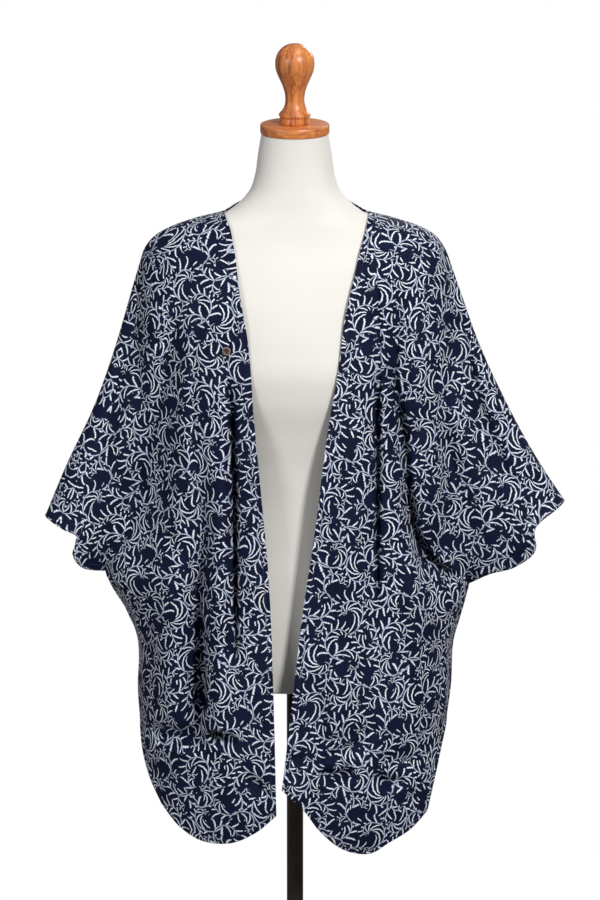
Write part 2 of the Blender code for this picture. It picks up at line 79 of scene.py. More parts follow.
# Grid of the panels, as in the solids but finer
ROW_STEP = 3.5
PANEL_LENGTH = 750.0  # the rows' and columns' shares are of these
PANEL_WIDTH = 180.0
UNDERARM_ROW = 0.28
SEAM_FOOT_ROW = 0.86
# The rows beside the shoulder, and the rows and columns beside a free edge
NEAR_ROWS = (0.0, 0.8, 3.0, 5.6, 8.4, 11.3, 14.4, 17.5)
NEAR_EDGE = (8.4, 7.2, 6.4, 5.6, 4.8, 3.0, 0.8, 0.0)
SIDE_COLUMNS = 88
NECK_COLUMNS = 18
NECK_SHARE = 0.30  # of the columns of half the back
SHOULDER_SHARE = 0.45  # of the columns on the over-arm line
SHOULDER_END = 4  # the point of the over-arm line where the shoulder ends
FLAT_STEP = 6  # grid lines from one to the next that are laid out flat
FLAT_ROUNDS = 500
CURVE_POINTS = 300
ARM_POINTS = 60
FOLD_END = 0.04  # a fold's ends are as high as this share of its length from them
FOLD_FADE = 0.5
CREASE_FADE = 0.6
TOP_FADE = 1.6  # how fast a panel's rows lose the bow of its top, and gain that of its hem
FOOT_FADE = 2.2

# The body's half width under the cloth, above the side seams
PIT_RISE = 70.0  # how far above the underarm, and how far inside it
PIT_STEP = 34.0
TRUNK = ((1060, 200), (1200, 204), (1270, 203))
NECK_FROM = 5.0
NECK_EASE = 2.0

# Dress form and stand
FORM_ROUND = 2.15  # as BODY_ROUND
FORM_AROUND = 128
FORM_STEP = 5.0
NECK_FOOT = 1384.0  # where the neck starts to lean
NECK_LEAN = math.radians(6)
CAP_RADIUS = 45.0
CAP_HEIGHT = 12.0
CAP_BEVEL = 1.5
POLE_RADIUS = 11.0
PART_GAP = 0.3
RIM_STEPS = 4
RIM_HEIGHT = 3.0
RIM_SHARE = 0.02  # how much narrower the form is at its rounded rim
FORM_SHARP = math.radians(50)
TURNED_SHARP = math.radians(40)
TURNED_SIDES = 96
KNOB_ROWS = 120
FOOT_SIDES = 128
FLOOR_RADIUS = 360.0

# Button, buttonhole and their threads
BUTTON_RADIUS = 5.3
BUTTON_HEIGHT = 2.4
BUTTON_SIDES = 64
BUTTON_ROWS = 60
BUTTON_WELL = 1.35  # the height of the button's sunken middle
SEWN_HALF = 1.3  # half the length of the threads across it
SEWN_STEP = 0.35
SEWN_RADIUS = 0.22
SEWN_LIFT = 0.1
HOLE_X = 108.0
HOLE_Z = 1197.0
HOLE_LENGTH = 13.0
HOLE_STITCHES = 26
HOLE_SLIT = 0.35  # from the slit's middle to where its stitches start
HOLE_EDGE = 2.1  # and to where they end
HOLE_THREAD = 0.28
HOLE_LIFT = 0.12
BAR_STITCHES = 4
BAR_STEP = 0.5
BAR_LIFT = 0.2
GRAIN_SIDES = 6
# A stitch's rings: the share of its length, and thickness and rise as shares of its radius
GRAIN_RINGS = ((0.0, 0.45, -0.5), (0.3, 1.0, 0.8), (0.7, 1.0, 0.8), (1.0, 0.45, -0.5))
GROOVE_HALF = 0.8  # half the width of the groove that a hem's stitches make
STITCH_LEAST = 0.5
STITCH_AIM = 1.5  # how far before and after a stitch's end the hem's direction is taken
LEAST_AWAY = 0.001  # a point of the cloth that is nearer than this counts as this far
FORM_NEAR = 30.0  # how far from the form the cloth may have to make way for it

# Slight unevenness of the cloth
WRINKLE_WIDE = 34.0
WRINKLE_TALL = 105.0
WRINKLE_HEIGHT = 2.4
RIPPLE_WIDE = 13.0
RIPPLE_TALL = 30.0
RIPPLE_HEIGHT = 0.55
WRINKLE_APART = 9  # how far apart in the noise the panels lie
RIPPLE_APART = 5
RIPPLE_LAYER = 4.0

# Print: one repeat, before it is made larger and turned
REPEAT = (132.0, 116.0)
PRINT_SIZE = 1.12
PRINT_TURN = math.radians(24)
PRINT_DRIFT = 15.0
DRIFT_SCALE = 0.012
REVERSE_SHARE = 0.3  # how strongly the print shows on the cloth's reverse
LEAF_PITCH = 6.5  # from leaf to leaf along a stem
LEAF_LENGTH = 12.8
LEAF_HALF = 0.76
LEAF_LEAN = 1.0  # how far a leaf runs along its stem for each mm away from it
LEAF_BEND = 0.05  # and how much that changes
LEAF_SURE = 0.7  # the share of its length that every leaf has
LEAF_LUCK = 0.45  # and the share that luck may add
LEAST_LEAF = 0.08  # what is narrower isn't printed
LEAF_SHORTER = 1.3  # the less this is, the shorter are the leaves near a stem's ends
LEAST_TAIL = 0.02
TIP_SHARP = 6.0
INNER_PITCH = 1.8  # the leaves inside an arc stand this many times as far apart
INNER_LENGTH = 0.80  # and end at this share of the way to its centre
BEAD_RATE = 2.4
BEAD_LUCK = 6.0
BEAD_SHARE = 0.3  # how much the beads change a leaf's width
STEM_HALF = 0.46
STEM_TAPER = 0.4
STEM_MIDDLE = 1.2  # at its middle a stem is this many times as wide
STEM_MEETS = 0.3  # the share of its width that it keeps where it meets another one
STEM_PARTS = 0.7  # and the share that it gains with each mm away from the other
STEM_ENDS = 1.2  # past this share of half a stem's length it has no leaves
END_SHARP = 20.0
SOFT_EDGE = 0.4  # how wide the print's edges run
LEAF_APART = 0.8  # no leaf shows where a second stem is less than this farther off
LEAST_REACH = 0.3
SEED_STEP = 57.0
LUCK = (31.7, 12.99, 4375.9)  # they mix up the lengths of the leaves
FAR = 99.0  # farther than any stem
WEAVE_STEP = 0.5

# Camera and lamps, in metres
CAMERA_RANGE = 5.0
CAMERA_UP = math.radians(10)
CAMERA_TARGET = Vector((0.0067, 0.0, 1.048))
LAMP_TARGET = Vector((0.0, 0.0, 1.0))
PIXEL = 0.00132  # at the target
PICTURE_HEIGHT = 900
SENSOR = 36.0
AMBIENT = 0.20

Point = namedtuple("Point", "x z")
Side = namedtuple("Side", "sign overarm cuff seam lobe hem edge")
Panel = namedtuple("Panel", "name points flat free facing")


def outline(*places):
    return tuple(Point(x, z) for x, z in places)


def table(columns, *rows):
    """Rows with named columns."""
    row = namedtuple("Row", columns)
    return tuple(row(*values) for values in rows)


FORM = table(
    "z half_width front back",
    (741, 158, 100, 110),
    (780, 165, 104, 118),
    (820, 163, 103, 115),
    (880, 145, 97, 101),
    (940, 125, 90, 85),
    (985, 119, 88, 79),
    (1030, 123, 92, 81),
    (1080, 136, 103, 88),
    (1130, 150, 119, 96),
    (1165, 157, 124, 100),
    (1200, 163, 118, 102),
    (1240, 174, 105, 101),
    (1270, 186, 92, 97),
    (1300, 194, 78, 91),
    (1314, 194, 70, 86),
    (1324, 188, 65, 82),
    (1334, 176, 61, 78),
    (1344, 156, 58, 74),
    (1352, 133, 56, 71),
    (1359, 107, 54, 69),
    (1364, 89, 53, 67),
    (1370, 80, 52, 66),
    (1376, 73, 51, 64),
    (1384, 65, 50, 61),
    (1396, 57, 48, 56),
    (1417, 51, 46, 51),
    (1440, 48, 44.5, 47.5),
    (1467, 43.5, 43.5, 44.5),
)

CLOTH = table(
    "z front back sleeve",
    (520, 116, 118, 0),
    (570, 135, 122, 0),
    (640, 146, 125, 0),
    (750, 143, 126, 0),
    (850, 135, 120, 10),
    (900, 132, 117, 30),
    (950, 130, 114, 40),
    (1050, 127, 110, 43),
    (1120, 124, 108, 42),
    (1165, 121, 107, 41),
    (1200, 116, 106, 39),
    (1240, 107, 104, 34),
    (1270, 96, 100, 28),
    (1300, 81, 94, 18),
    (1316, 73, 89, 10),
    (1336, 64, 81, 0),
    (1362, 57, 72, 0),
    (1384, 52, 65, 0),
)

RIGHT = Side(
    sign=-1,
    overarm=outline(
        (92, 1364), (131, 1354), (163, 1343), (184, 1331), (196, 1316), (203, 1295), (215, 1255),
        (232, 1197), (262, 1112), (303, 1025), (328, 965),
    ),
    cuff=outline((328, 965), (304, 951), (286, 941), (292, 918), (284, 902), (250, 889)),
    seam=outline((250, 889), (224, 838), (208, 790), (209, 730), (206, 683)),
    lobe=outline((206, 683), (202, 654), (192, 622), (175, 589)),
    hem=outline((24, 588), (52, 562), (90, 545), (124, 547), (149, 561), (175, 589)),
    edge=outline(
        (92, 1364), (86, 1354), (79, 1326), (71, 1270), (61, 1214), (52, 1105), (43, 1008),
        (35, 920), (28, 760), (24, 588),
    ),
)
LEFT = Side(
    sign=1,
    overarm=outline(
        (96, 1363), (131, 1354), (165, 1343), (185, 1331), (196, 1315), (205, 1291), (217, 1257),
        (242, 1189), (275, 1118), (315, 1045), (354, 985),
    ),
    cuff=outline((354, 985), (314, 950), (316, 926), (290, 901), (256, 888), (230, 870)),
    seam=outline((230, 870), (220, 830), (210, 790), (208, 740), (202, 690)),
    lobe=outline((202, 690), (192, 655), (185, 625), (174, 579)),
    hem=outline(
        (-17, 624), (11, 596), (32, 566), (72, 533), (100, 529), (124, 543), (150, 557), (174, 579),
    ),
    edge=outline(
        (96, 1363), (91, 1344), (84, 1320), (76, 1287), (65, 1243), (56, 1176), (41, 1085),
        (27, 972), (9, 850), (-4, 735), (-17, 624),
    ),
)

BACK_NECK = outline((0, 1382), (38, 1380), (68, 1375), (83, 1369), (94, 1363.5))
BACK_HEM_RISE = 28.0

# The solids' folds: their middles in the front view, and their height away from the body.
FOLD = "height width sharp path"
FOLDS = {
    "front_right": table(
        FOLD,
        (-12, 10, 1.5, ((-86, 1180), (-82, 1110), (-79, 980), (-77, 800))),
        (12, 17, 2.0, ((-104, 1080), (-102, 950), (-99, 820), (-96, 680))),
        (-19, 14, 1.7, ((-120, 1040), (-125, 900), (-128, 790), (-132, 690))),
        (11, 22, 2.0, ((-162, 960), (-165, 840), (-168, 700))),
        (-8, 10, 1.6, ((-196, 684), (-160, 694), (-117, 690))),
        (-7, 9, 1.6, ((-72, 652), (-50, 634), (-30, 626))),
        (-15, 20, 2.0, ((-150, 1270), (-168, 1120), (-184, 1010), (-205, 925))),
        (-8, 12, 2.0, ((-200, 1270), (-228, 1150), (-262, 1040), (-284, 950))),
        (7, 14, 2.0, ((-186, 1220), (-212, 1110), (-240, 1000), (-262, 930))),
    ),
    "front_left": table(
        FOLD,
        (-10, 11, 1.5, ((100, 1330), (106, 1262), (110, 1200), (110, 830))),
        (-17, 18, 1.8, ((139, 1270), (130, 1160), (146, 1080), (155, 983))),
        (-16, 15, 1.8, ((152, 1010), (168, 935), (190, 902), (216, 880))),
        (13, 14, 2.0, ((136, 1060), (144, 990), (156, 850), (160, 700))),
        (-8, 11, 2.0, ((213, 1262), (240, 1155), (274, 1055), (300, 985))),
        (8, 16, 2.0, ((186, 1230), (206, 1120), (238, 1010), (262, 930))),
        (-10, 11, 1.7, ((34, 678), (66, 692), (100, 700))),
        (-11, 13, 1.8, ((108, 662), (140, 650), (168, 654))),
        (-6, 9, 1.6, ((-14, 660), (12, 668))),
        (9, 18, 2.0, ((74, 1060), (66, 860), (58, 700))),
    ),
    "back": table(
        FOLD,
        (-12, 17, 2.0, ((-62, 1290), (-66, 1100), (-74, 690))),
        (11, 20, 2.0, ((-22, 1200), (-24, 1000), (-28, 690))),
        (-12, 16, 1.8, ((18, 1260), (20, 1000), (26, 690))),
        (10, 18, 2.0, ((72, 1220), (76, 1000), (84, 690))),
        (-15, 20, 2.0, ((128, 1270), (134, 1100), (150, 960), (196, 880))),
        (-15, 20, 2.0, ((-124, 1270), (-136, 1100), (-158, 960), (-212, 885))),
        (10, 18, 2.0, ((-136, 900), (-144, 800), (-150, 685))),
        (9, 18, 2.0, ((148, 880), (154, 780), (156, 685))),
        (-7, 12, 2.0, ((-205, 1240), (-236, 1120), (-268, 1020), (-286, 950))),
        (-7, 12, 2.0, ((206, 1250), (238, 1140), (282, 1040), (300, 980))),
    ),
}

# Finer creases. left and right are the widths on each side of the path, for someone who goes
# along it and sees the front with +Z up.
CREASE = "height left right sharp path"
CREASES = {
    "front_right": table(
        CREASE,
        (-34, 4.5, 2.6, 3.0, ((-85, 1160), (-81, 1120), (-79, 1000), (-78, 870), (-77, 790))),
        (5, 9, 9, 1.5, ((-98, 1150), (-93, 1080), (-91, 960), (-91, 820))),
        (-18, 2.8, 9, 1.8, ((-110, 990), (-112, 950), (-121, 855), (-119, 800))),
        (-30, 3.2, 15, 1.8, ((-121, 850), (-119, 800), (-118, 740), (-119, 684))),
        (7, 6, 6, 1.5, ((-143, 1125), (-138, 1040), (-132, 970), (-128, 905))),
        (-20, 3.5, 20, 2.2, ((-119, 800), (-118, 740), (-120, 676))),
        (-46, 9, 4, 2.5, ((-114, 692), (-94, 684), (-76, 688))),
        (-30, 14, 3.0, 1.8, ((-184, 670), (-156, 677), (-112, 678))),
        (6, 5, 9, 1.5, ((-200, 664), (-160, 668), (-110, 662))),
        (-9, 4, 8, 1.5, ((-70, 640), (-50, 628), (-34, 612))),
        (-11, 9, 7, 1.5, ((-170, 958), (-160, 946), (-148, 938))),
        (4, 8, 8, 1.5, ((-140, 1180), (-146, 1060), (-150, 940), (-160, 860))),
        (-10, 5, 9, 1.8, ((-150, 1250), (-170, 1150), (-196, 1040), (-226, 950))),
        (-5, 8, 4, 1.5, ((-118, 1300), (-128, 1220), (-132, 1120), (-126, 1030))),
        (-7, 5, 8, 1.5, ((-176, 880), (-186, 820), (-188, 760))),
    ),
    "front_left": table(
        CREASE,
        (-26, 2.6, 4, 2.5, ((99, 1340), (104, 1270), (107, 1200), (108, 1060), (108, 850))),
        (4, 8, 8, 1.5, ((116, 1240), (118, 1140), (118, 1000), (118, 880))),
        (-14, 4, 9, 2.0, ((137, 1270), (128, 1160), (141, 1100), (146, 1050))),
        (-28, 4, 12, 1.8, ((134, 1130), (143, 1087), (149, 1000), (160, 945), (178, 913), (216, 884))),
        (-22, 5, 15, 1.8, ((150, 1010), (158, 950), (176, 912), (214, 882))),
        (9, 8, 12, 1.6, ((172, 1080), (184, 1030), (188, 960), (200, 915), (222, 886))),
        (-20, 4, 10, 1.8, ((206, 1276), (222, 1200), (246, 1110), (284, 1010))),
        (-5, 7, 4, 1.5, ((168, 1250), (180, 1160), (196, 1080), (220, 990))),
        (-26, 12, 5, 1.8, ((30, 644), (54, 636), (78, 646))),
        (-16, 4, 11, 1.6, ((32, 662), (62, 676), (96, 688))),
        (-26, 12, 5, 1.8, ((98, 638), (120, 622), (146, 624))),
        (-10, 9, 5, 1.6, ((24, 780), (34, 720), (44, 660))),
        (-6, 5, 7, 1.5, ((186, 850), (192, 780), (190, 700))),
        (5, 6, 6, 1.5, ((176, 850), (180, 780), (180, 700))),
        (-5, 5, 8, 1.5, ((-10, 646), (0, 644), (10, 648))),
    ),
    "back": table(
        CREASE,
        (-8, 5, 9, 1.5, ((-60, 1280), (-64, 1100), (-72, 720))),
        (-8, 9, 5, 1.5, ((20, 1240), (22, 1000), (28, 720))),
        (-10, 6, 10, 1.5, ((-128, 1250), (-140, 1090), (-160, 960), (-206, 890))),
        (-10, 10, 6, 1.5, ((126, 1250), (136, 1090), (152, 960), (194, 884))),
        (-6, 5, 8, 1.5, ((-206, 1230), (-238, 1120), (-270, 1010))),
        (-6, 8, 5, 1.5, ((208, 1240), (240, 1130), (284, 1030))),
        (-6, 5, 5, 1.5, ((-110, 880), (-112, 800), (-118, 700))),
        (-6, 5, 5, 1.5, ((112, 860), (116, 790), (120, 700))),
    ),
}

# The knob's rings: radius and height
FINIAL = (
    (7, 104.2), (12, 102.4), (16.5, 99.3), (21.3, 94), (24.5, 87), (25.5, 79.5), (24.9, 72),
    (22.6, 64.7), (19.3, 57.3), (16.1, 50), (13.7, 42.4), (12.5, 35), (12.7, 27.6), (14.3, 22),
    (16.9, 17.4), (19.4, 14.6), (20.6, 13), (20.6, 10.5), (19.7, 9.5), (19.9, 5), (19.7, 1),
    (18.8, 0),
)

# The round foot's rings
FOOT = (
    (22, 34), (23.4, 33.4), (24, 32), (24, 20), (26, 17.4), (30, 16), (142, 12), (148, 10),
    (149.4, 9.2), (150, 8), (150, 0),
)

# The button's rings
BUTTON = (
    (0.4, BUTTON_WELL), (2.2, 1.4), (3.0, 1.7), (3.5, 2.2), (4.0, BUTTON_HEIGHT), (4.7, 2.3),
    (5.15, 2.0), (BUTTON_RADIUS, 1.5), (BUTTON_RADIUS, 0.8), (4.9, 0.3), (4.2, 0.0),
)

# The print, charted as leafy sprigs, each along an arc about its own centre. Angles are
# in degrees. way is the side that the leaves lean to, and curl is how much the arc closes in
# towards its tip.
SPRIGS = table(
    "x y radius middle sweep way curl",
    (16, 14, 15, 80, 280, 1, 0.26),
    (50, 4, 19, 262, 130, -1, 0.06),
    (84, 14, 14, 110, 290, -1, 0.24),
    (112, 12, 15, 5, 260, 1, 0.24),
    (40, 38, 15, 325, 220, -1, 0.20),
    (71, 43, 12, 180, 240, 1, 0.22),
    (96, 40, 15, 90, 200, 1, 0.20),
    (124, 40, 14, 160, 270, -1, 0.25),
    (12, 66, 16, 255, 240, 1, 0.25),
    (42, 76, 14, 60, 280, -1, 0.25),
    (74, 76, 16, 300, 240, 1, 0.20),
    (104, 74, 14, 20, 270, 1, 0.27),
    (22, 98, 17, 185, 220, -1, 0.22),
    (88, 100, 15, 235, 250, -1, 0.25),
    (120, 98, 13, 90, 240, -1, 0.22),
    (62, 104, 9, 20, 200, 1, 0.20),
    (88, 4, 8, 45, 200, 1, 0.20),
    (0, 40, 26, 10, 50, -1, 0.0),
    (50, 3, 8, 60, 190, 1, 0.20),
    (36, 58, 8, 250, 180, 1, 0.20),
)

LAMPS = table(
    "name place power size colour",
    ("key", (2.0, -3.9, 3.4), 168, 0.7, (1.0, 0.99, 0.98)),
    ("fill", (-3.0, -3.4, 2.2), 52, 1.4, (0.98, 0.99, 1.0)),
    ("top", (0.6, -0.8, 4.0), 20, 1.2, (1.0, 1.0, 1.0)),
    ("behind", (1.6, 3.4, 3.0), 60, 1.6, (1.0, 1.0, 1.0)),
)


def hermite(knots, points, tangent, at):
    """A cubic curve with the given slopes at its knots."""
    step = np.diff(knots)
    i = np.clip(np.searchsorted(knots, at, side="right") - 1, 0, len(step) - 1)
    f = (at - knots[i]) / step[i]
    size = step[i]
    if points.ndim > 1:
        f = f[..., None]
        size = size[..., None]
    start = points[i] * (1 + 2 * f) * (1 - f) ** 2 + tangent[i] * size * f * (1 - f) ** 2
    end = points[i + 1] * f * f * (3 - 2 * f) + tangent[i + 1] * size * f * f * (f - 1)
    return start + end


def through(knots, values, at):
    """Values at the given places, on a smooth curve through a table that doesn't overshoot."""
    knots = np.asarray(knots, float)
    values = np.asarray(values, float)
    slope = np.diff(values) / np.diff(knots)
    product = slope[:-1] * slope[1:]
    total = np.where(slope[:-1] + slope[1:] == 0, 1.0, slope[:-1] + slope[1:])
    inner = np.where(product > 0, 2 * product / total, 0.0)
    tangent = np.concatenate([slope[:1], inner, slope[-1:]])
    return hermite(knots, values, tangent, np.clip(at, knots[0], knots[-1]))


def lengths(points):
    """The distance along a line of points, from its first point to each."""
    gaps = np.linalg.norm(np.diff(points, axis=0), axis=1)
    return np.concatenate([[0.0], np.cumsum(gaps)])


def spline(points, count):
    """Evenly spaced places on a smooth curve through a few points."""
    knots = lengths(points)
    step = np.diff(knots)
    slope = np.diff(points, axis=0) / step[:, None]
    weight = (step[1:] / (step[:-1] + step[1:]))[:, None]
    inner = slope[:-1] * weight + slope[1:] * (1 - weight)
    tangent = np.concatenate([slope[:1], inner, slope[-1:]])
    return hermite(knots, points, tangent, np.linspace(0.0, knots[-1], count))


def on_line(line, measure, at):
    """Places on a line of points, at lengths that measure gives for each of its points."""
    return np.stack([np.interp(at, measure, column) for column in line.T], axis=-1)


def curve(points, share, sign=1):
    """Places at the given shares of the length of a smooth curve through outline points."""
    line = spline(np.array([(sign * p.x, p.z) for p in points], float), CURVE_POINTS)
    return on_line(line, lengths(line) / lengths(line)[-1], share)


def eased(share):
    """A share that leaves 0 and reaches 1 without a kink."""
    return share * share * (3 - 2 * share)


def from_line(x, z, line):
    """Each place's distance from a line of points, the share of the line before its foot, and
    whether it lies on the line's left."""
    line = np.asarray(line, float)
    place = np.stack([x, z], axis=-1)
    along = lengths(line)
    best = np.full(x.shape, np.inf)
    share = np.zeros(x.shape)
    left = np.zeros(x.shape, bool)
    for start, end, here, there in zip(line, line[1:], along, along[1:]):
        run = end - start
        f = np.clip(((place - start) @ run) / (run @ run), 0.0, 1.0)
        off = place - start - f[..., None] * run
        away = np.linalg.norm(off, axis=-1)
        nearer = away < best
        share = np.where(nearer, (here + f * (there - here)) / along[-1], share)
        left = np.where(nearer, run[0] * off[..., 1] - run[1] * off[..., 0] > 0, left)
        best = np.minimum(best, away)
    return best, share, left


def arch(share):
    """A quarter circle's height, from 0 at its foot to 1 at its top."""
    return np.sqrt(1.0 - (1.0 - np.clip(share, 0.0, 1.0)) ** 2)


def body_half_width(z, side):
    """Half the body's width under the cloth: side seam, trunk, shoulder and neck."""
    seam = [(p.z, p.x) for p in side.seam[::-1]]
    pit_z, pit_x = seam[-1]
    pit = [(pit_z + PIT_RISE, pit_x - PIT_STEP)]
    shoulder = [(p.z, p.x) for p in side.overarm[SHOULDER_END::-1]]
    neck = [(s.z, s.half_width + NECK_EASE) for s in FORM if s.z > side.overarm[0].z + NECK_FROM]
    return through(*zip(*seam, *pit, *TRUNK, *shoulder, *neck), z)


def relief(x, z, panel, creased):
    """How far a panel's folds, and its creases if they are wanted, move it outwards."""
    total = np.zeros(x.shape)
    for fold in FOLDS[panel]:
        away, share, _ = from_line(x, z, fold.path)
        fade = np.sin(math.pi * np.clip(share, FOLD_END, 1 - FOLD_END)) ** FOLD_FADE
        total += fold.height * fade * np.exp(-((away / fold.width) ** fold.sharp))
    for crease in CREASES[panel] if creased else ():
        away, share, left = from_line(x, z, crease.path)
        fade = np.sin(math.pi * np.clip(share, 0.0, 1.0)) ** CREASE_FADE
        width = np.where(left, crease.left, crease.right)
        total += crease.height * fade * np.exp(-((away / width) ** crease.sharp))
    return total


def side_depth(x, z, side, facing):
    """How far the cloth of one side stands from the seams' sheet, without its folds."""
    knots = [s.z for s in CLOTH]
    out = x * side.sign
    middle = through(knots, [getattr(s, facing) for s in CLOTH], z)
    thick = through(knots, [s.sleeve for s in CLOTH], z)
    share = np.clip(np.abs(out) / body_half_width(z, side), 0.0, 1.0)
    body = middle * (1.0 - share**BODY_ROUND) ** (1.0 / BODY_ROUND)
    from_arm = from_line(out, z, curve(side.overarm, np.linspace(0.0, 1.0, ARM_POINTS)))[0]
    from_pit = np.hypot(out - side.seam[0].x, z - side.seam[0].z)
    sleeve = thick * arch(from_arm / SLEEVE_EDGE) * arch(from_pit / UNDERARM_PINCH)
    return (body**JOIN + sleeve**JOIN) ** (1.0 / JOIN)


def with_folds(plain, x, z, panel, creased):
    """A panel's depth with its folds, which fade towards the seams."""
    return plain + np.clip(plain / CALM_DEPTH, 0.0, 1.0) * relief(x, z, panel, creased)


def swung(points):
    """The grid with the sleeves' outer ends hanging forward, seams and all."""
    share = np.clip((np.abs(points[..., 0]) - SWING_FROM) / SWING_OVER, 0.0, 1.0)
    moved = points.copy()
    moved[..., 1] -= SWING * eased(share)
    return moved


def row_places():
    """Where the rows start down a front's edge, as shares: to the underarm, the seam's foot, the hem."""
    near = np.array(NEAR_ROWS) / PANEL_LENGTH
    hem = 1.0 - np.array(NEAR_EDGE) / PANEL_LENGTH
    stops = (near[-1], UNDERARM_ROW, SEAM_FOOT_ROW, hem[0])
    parts = []
    for start, end in zip(stops, stops[1:]):
        count = max(2, round((end - start) * PANEL_LENGTH / ROW_STEP))
        parts.append(np.linspace(start, end, count + 1)[1:])
    return np.concatenate([near, parts[0]]), parts[1], np.concatenate([parts[2], hem[1:]])


def outer_line(side, rows):
    """The rows' outer ends: down the cuff, then the side seam, then the free lobe if it is given."""
    stops = (0.0, UNDERARM_ROW, SEAM_FOOT_ROW, 1.0)
    return np.concatenate([
        curve(line, (down - start) / (end - start), side.sign)
        for line, down, start, end in zip((side.cuff, side.seam, side.lobe), rows, stops, stops[1:])
    ])


def over_shoulder(side, columns):
    """Places on the over-arm line, where the shoulder has its own share of the columns."""
    along = lengths(np.array(side.overarm, float))
    end = along[SHOULDER_END] / along[-1]
    share = np.interp(columns, [0.0, SHOULDER_SHARE, 1.0], [0.0, end, 1.0])
    return curve(side.overarm, share, side.sign)


def column_places(start):
    """Columns from 0 to 1: close together beside the outer edge, and beside the inner one if it is
    free."""
    near = np.array(NEAR_EDGE) / PANEL_WIDTH
    first = near[::-1] if start else np.zeros(1)
    middle = np.linspace(first[-1], 1.0 - near[0], SIDE_COLUMNS + 1)
    return np.concatenate([first, middle[1:], 1.0 - near[1:]])


def patch(top, bottom, inner, outer, columns, down):
    """A grid of places between four border lines, row by row."""
    u = columns[:, None]
    t = down[:, None, None]
    chord = (1 - u) * inner[:, None] + u * outer[:, None]
    top_bow = top - ((1 - u) * top[0] + u * top[-1])
    foot_bow = bottom - ((1 - u) * bottom[0] + u * bottom[-1])
    return chord + (1 - t) ** TOP_FADE * top_bow + t**FOOT_FADE * foot_bow


def turned(points, sewn, away):
    """The grid with its first row ending squarely at the seam, where it is sewn.

    away is the side of the seams' sheet that the panel is on, and sewn marks the row's sewn points.
    """
    edge = points[0].copy()
    strip = (points[0] + points[1]) / 2
    edge[sewn, 1] = away * SEAM_GAP / 2
    strip[sewn] = points[0][sewn]
    strip[sewn, 1] = away * (SEAM_GAP / 2 + SEAM_TURN)
    return np.concatenate([[edge, strip], points[1:]])


def turned_column(points, sewn, away):
    """The same for the grid's last column."""
    flipped = points.transpose(1, 0, 2)[::-1]
    return turned(flipped, sewn, away)[::-1].transpose(1, 0, 2)


def front_grid(panel, side, creased):
    """A front's inner face, and its free edges as one line of grid places."""
    rows = row_places()
    down = np.concatenate(rows)
    columns = column_places(True)
    top = over_shoulder(side, columns)
    bottom = curve(side.hem, columns, side.sign)
    inner = curve(side.edge, down, side.sign)
    places = patch(top, bottom, inner, outer_line(side, rows), columns, down)
    x, z = places[..., 0], places[..., 1]
    y = -with_folds(side_depth(x, z, side, "front"), x, z, panel, creased)
    points = turned(np.stack([x, y, z], axis=-1), np.full(len(columns), True), -1)
    pit, foot = len(rows[0]), len(rows[0]) + len(rows[1])
    sewn = np.arange(len(points))
    points = swung(turned_column(points, (sewn >= pit) & (sewn <= foot), -1))
    last_row, last_column = points.shape[0] - 1, points.shape[1] - 1
    front = [(i, 0) for i in range(last_row)]
    hem = [(last_row, j) for j in range(last_column)]
    lobe = [(i, last_column) for i in range(last_row, foot, -1)]
    cuff = [(i, last_column) for i in range(pit + 1)]
    return points, (front + hem + lobe, cuff)


def back_grid(creased):
    """The back's inner face, and its free edges as lines of grid places."""
    to_pit, to_foot, _ = row_places()
    hem = SEAM_FOOT_ROW - np.array(NEAR_EDGE[1:]) / PANEL_LENGTH
    rows = (to_pit, np.concatenate([to_foot[to_foot < hem[0] - 0.001], hem]))
    down = np.concatenate(rows) / SEAM_FOOT_ROW
    neck = np.linspace(0.0, 1.0, NECK_COLUMNS + 1)
    half = column_places(False)
    share = np.concatenate([NECK_SHARE * neck[:-1], NECK_SHARE + (1 - NECK_SHARE) * half])
    columns = (np.concatenate([-share[:0:-1], share]) + 1) / 2
    right, left = (
        np.concatenate([curve(BACK_NECK, neck[:-1], side.sign), over_shoulder(side, half)])
        for side in (RIGHT, LEFT)
    )
    top = np.concatenate([right[:0:-1], left])
    inner, outer = (outer_line(side, rows) for side in (RIGHT, LEFT))
    bottom = (1 - columns[:, None]) * inner[-1] + columns[:, None] * outer[-1]
    bottom[:, 1] += BACK_HEM_RISE * np.sin(math.pi * columns) ** 2
    places = patch(top, bottom, inner, outer, columns, down)
    x, z = places[..., 0], places[..., 1]
    plain = np.where(x < 0, side_depth(x, z, RIGHT, "back"), side_depth(x, z, LEFT, "back"))
    y = with_folds(plain, x, z, "back", creased)
    off_neck = np.abs(2 * columns - 1) > NECK_SHARE - 1e-6
    points = turned(np.stack([x, y, z], axis=-1), off_neck, 1)
    pit = len(to_pit)
    sewn = np.arange(len(points)) >= pit
    points = turned_column(points, sewn, 1)
    points = swung(turned_column(points[:, ::-1], sewn, 1)[:, ::-1])
    last_row, last_column = points.shape[0] - 1, points.shape[1] - 1
    middle = last_column // 2
    hem = [(last_row, j) for j in range(last_column + 1)]
    collar = [(0, j) for j in range(middle - NECK_COLUMNS, middle + NECK_COLUMNS + 1)]
    cuffs = [[(i, j) for i in range(pit + 1)] for j in (0, last_column)]
    return points, (hem, collar, *cuffs)


def normals_of(points, facing):
    """A grid's unit normals on its outer side, which facing (-1 or 1) gives along Y, and whether
    they turn as the grid's columns and rows do."""
    normal = np.cross(np.gradient(points, axis=1), np.gradient(points, axis=0))
    turns = bool(normal[..., 1].mean() * facing > 0)
    size = np.linalg.norm(normal, axis=-1, keepdims=True)
    return normal / np.maximum(size, 1e-9) * (1 if turns else -1), turns


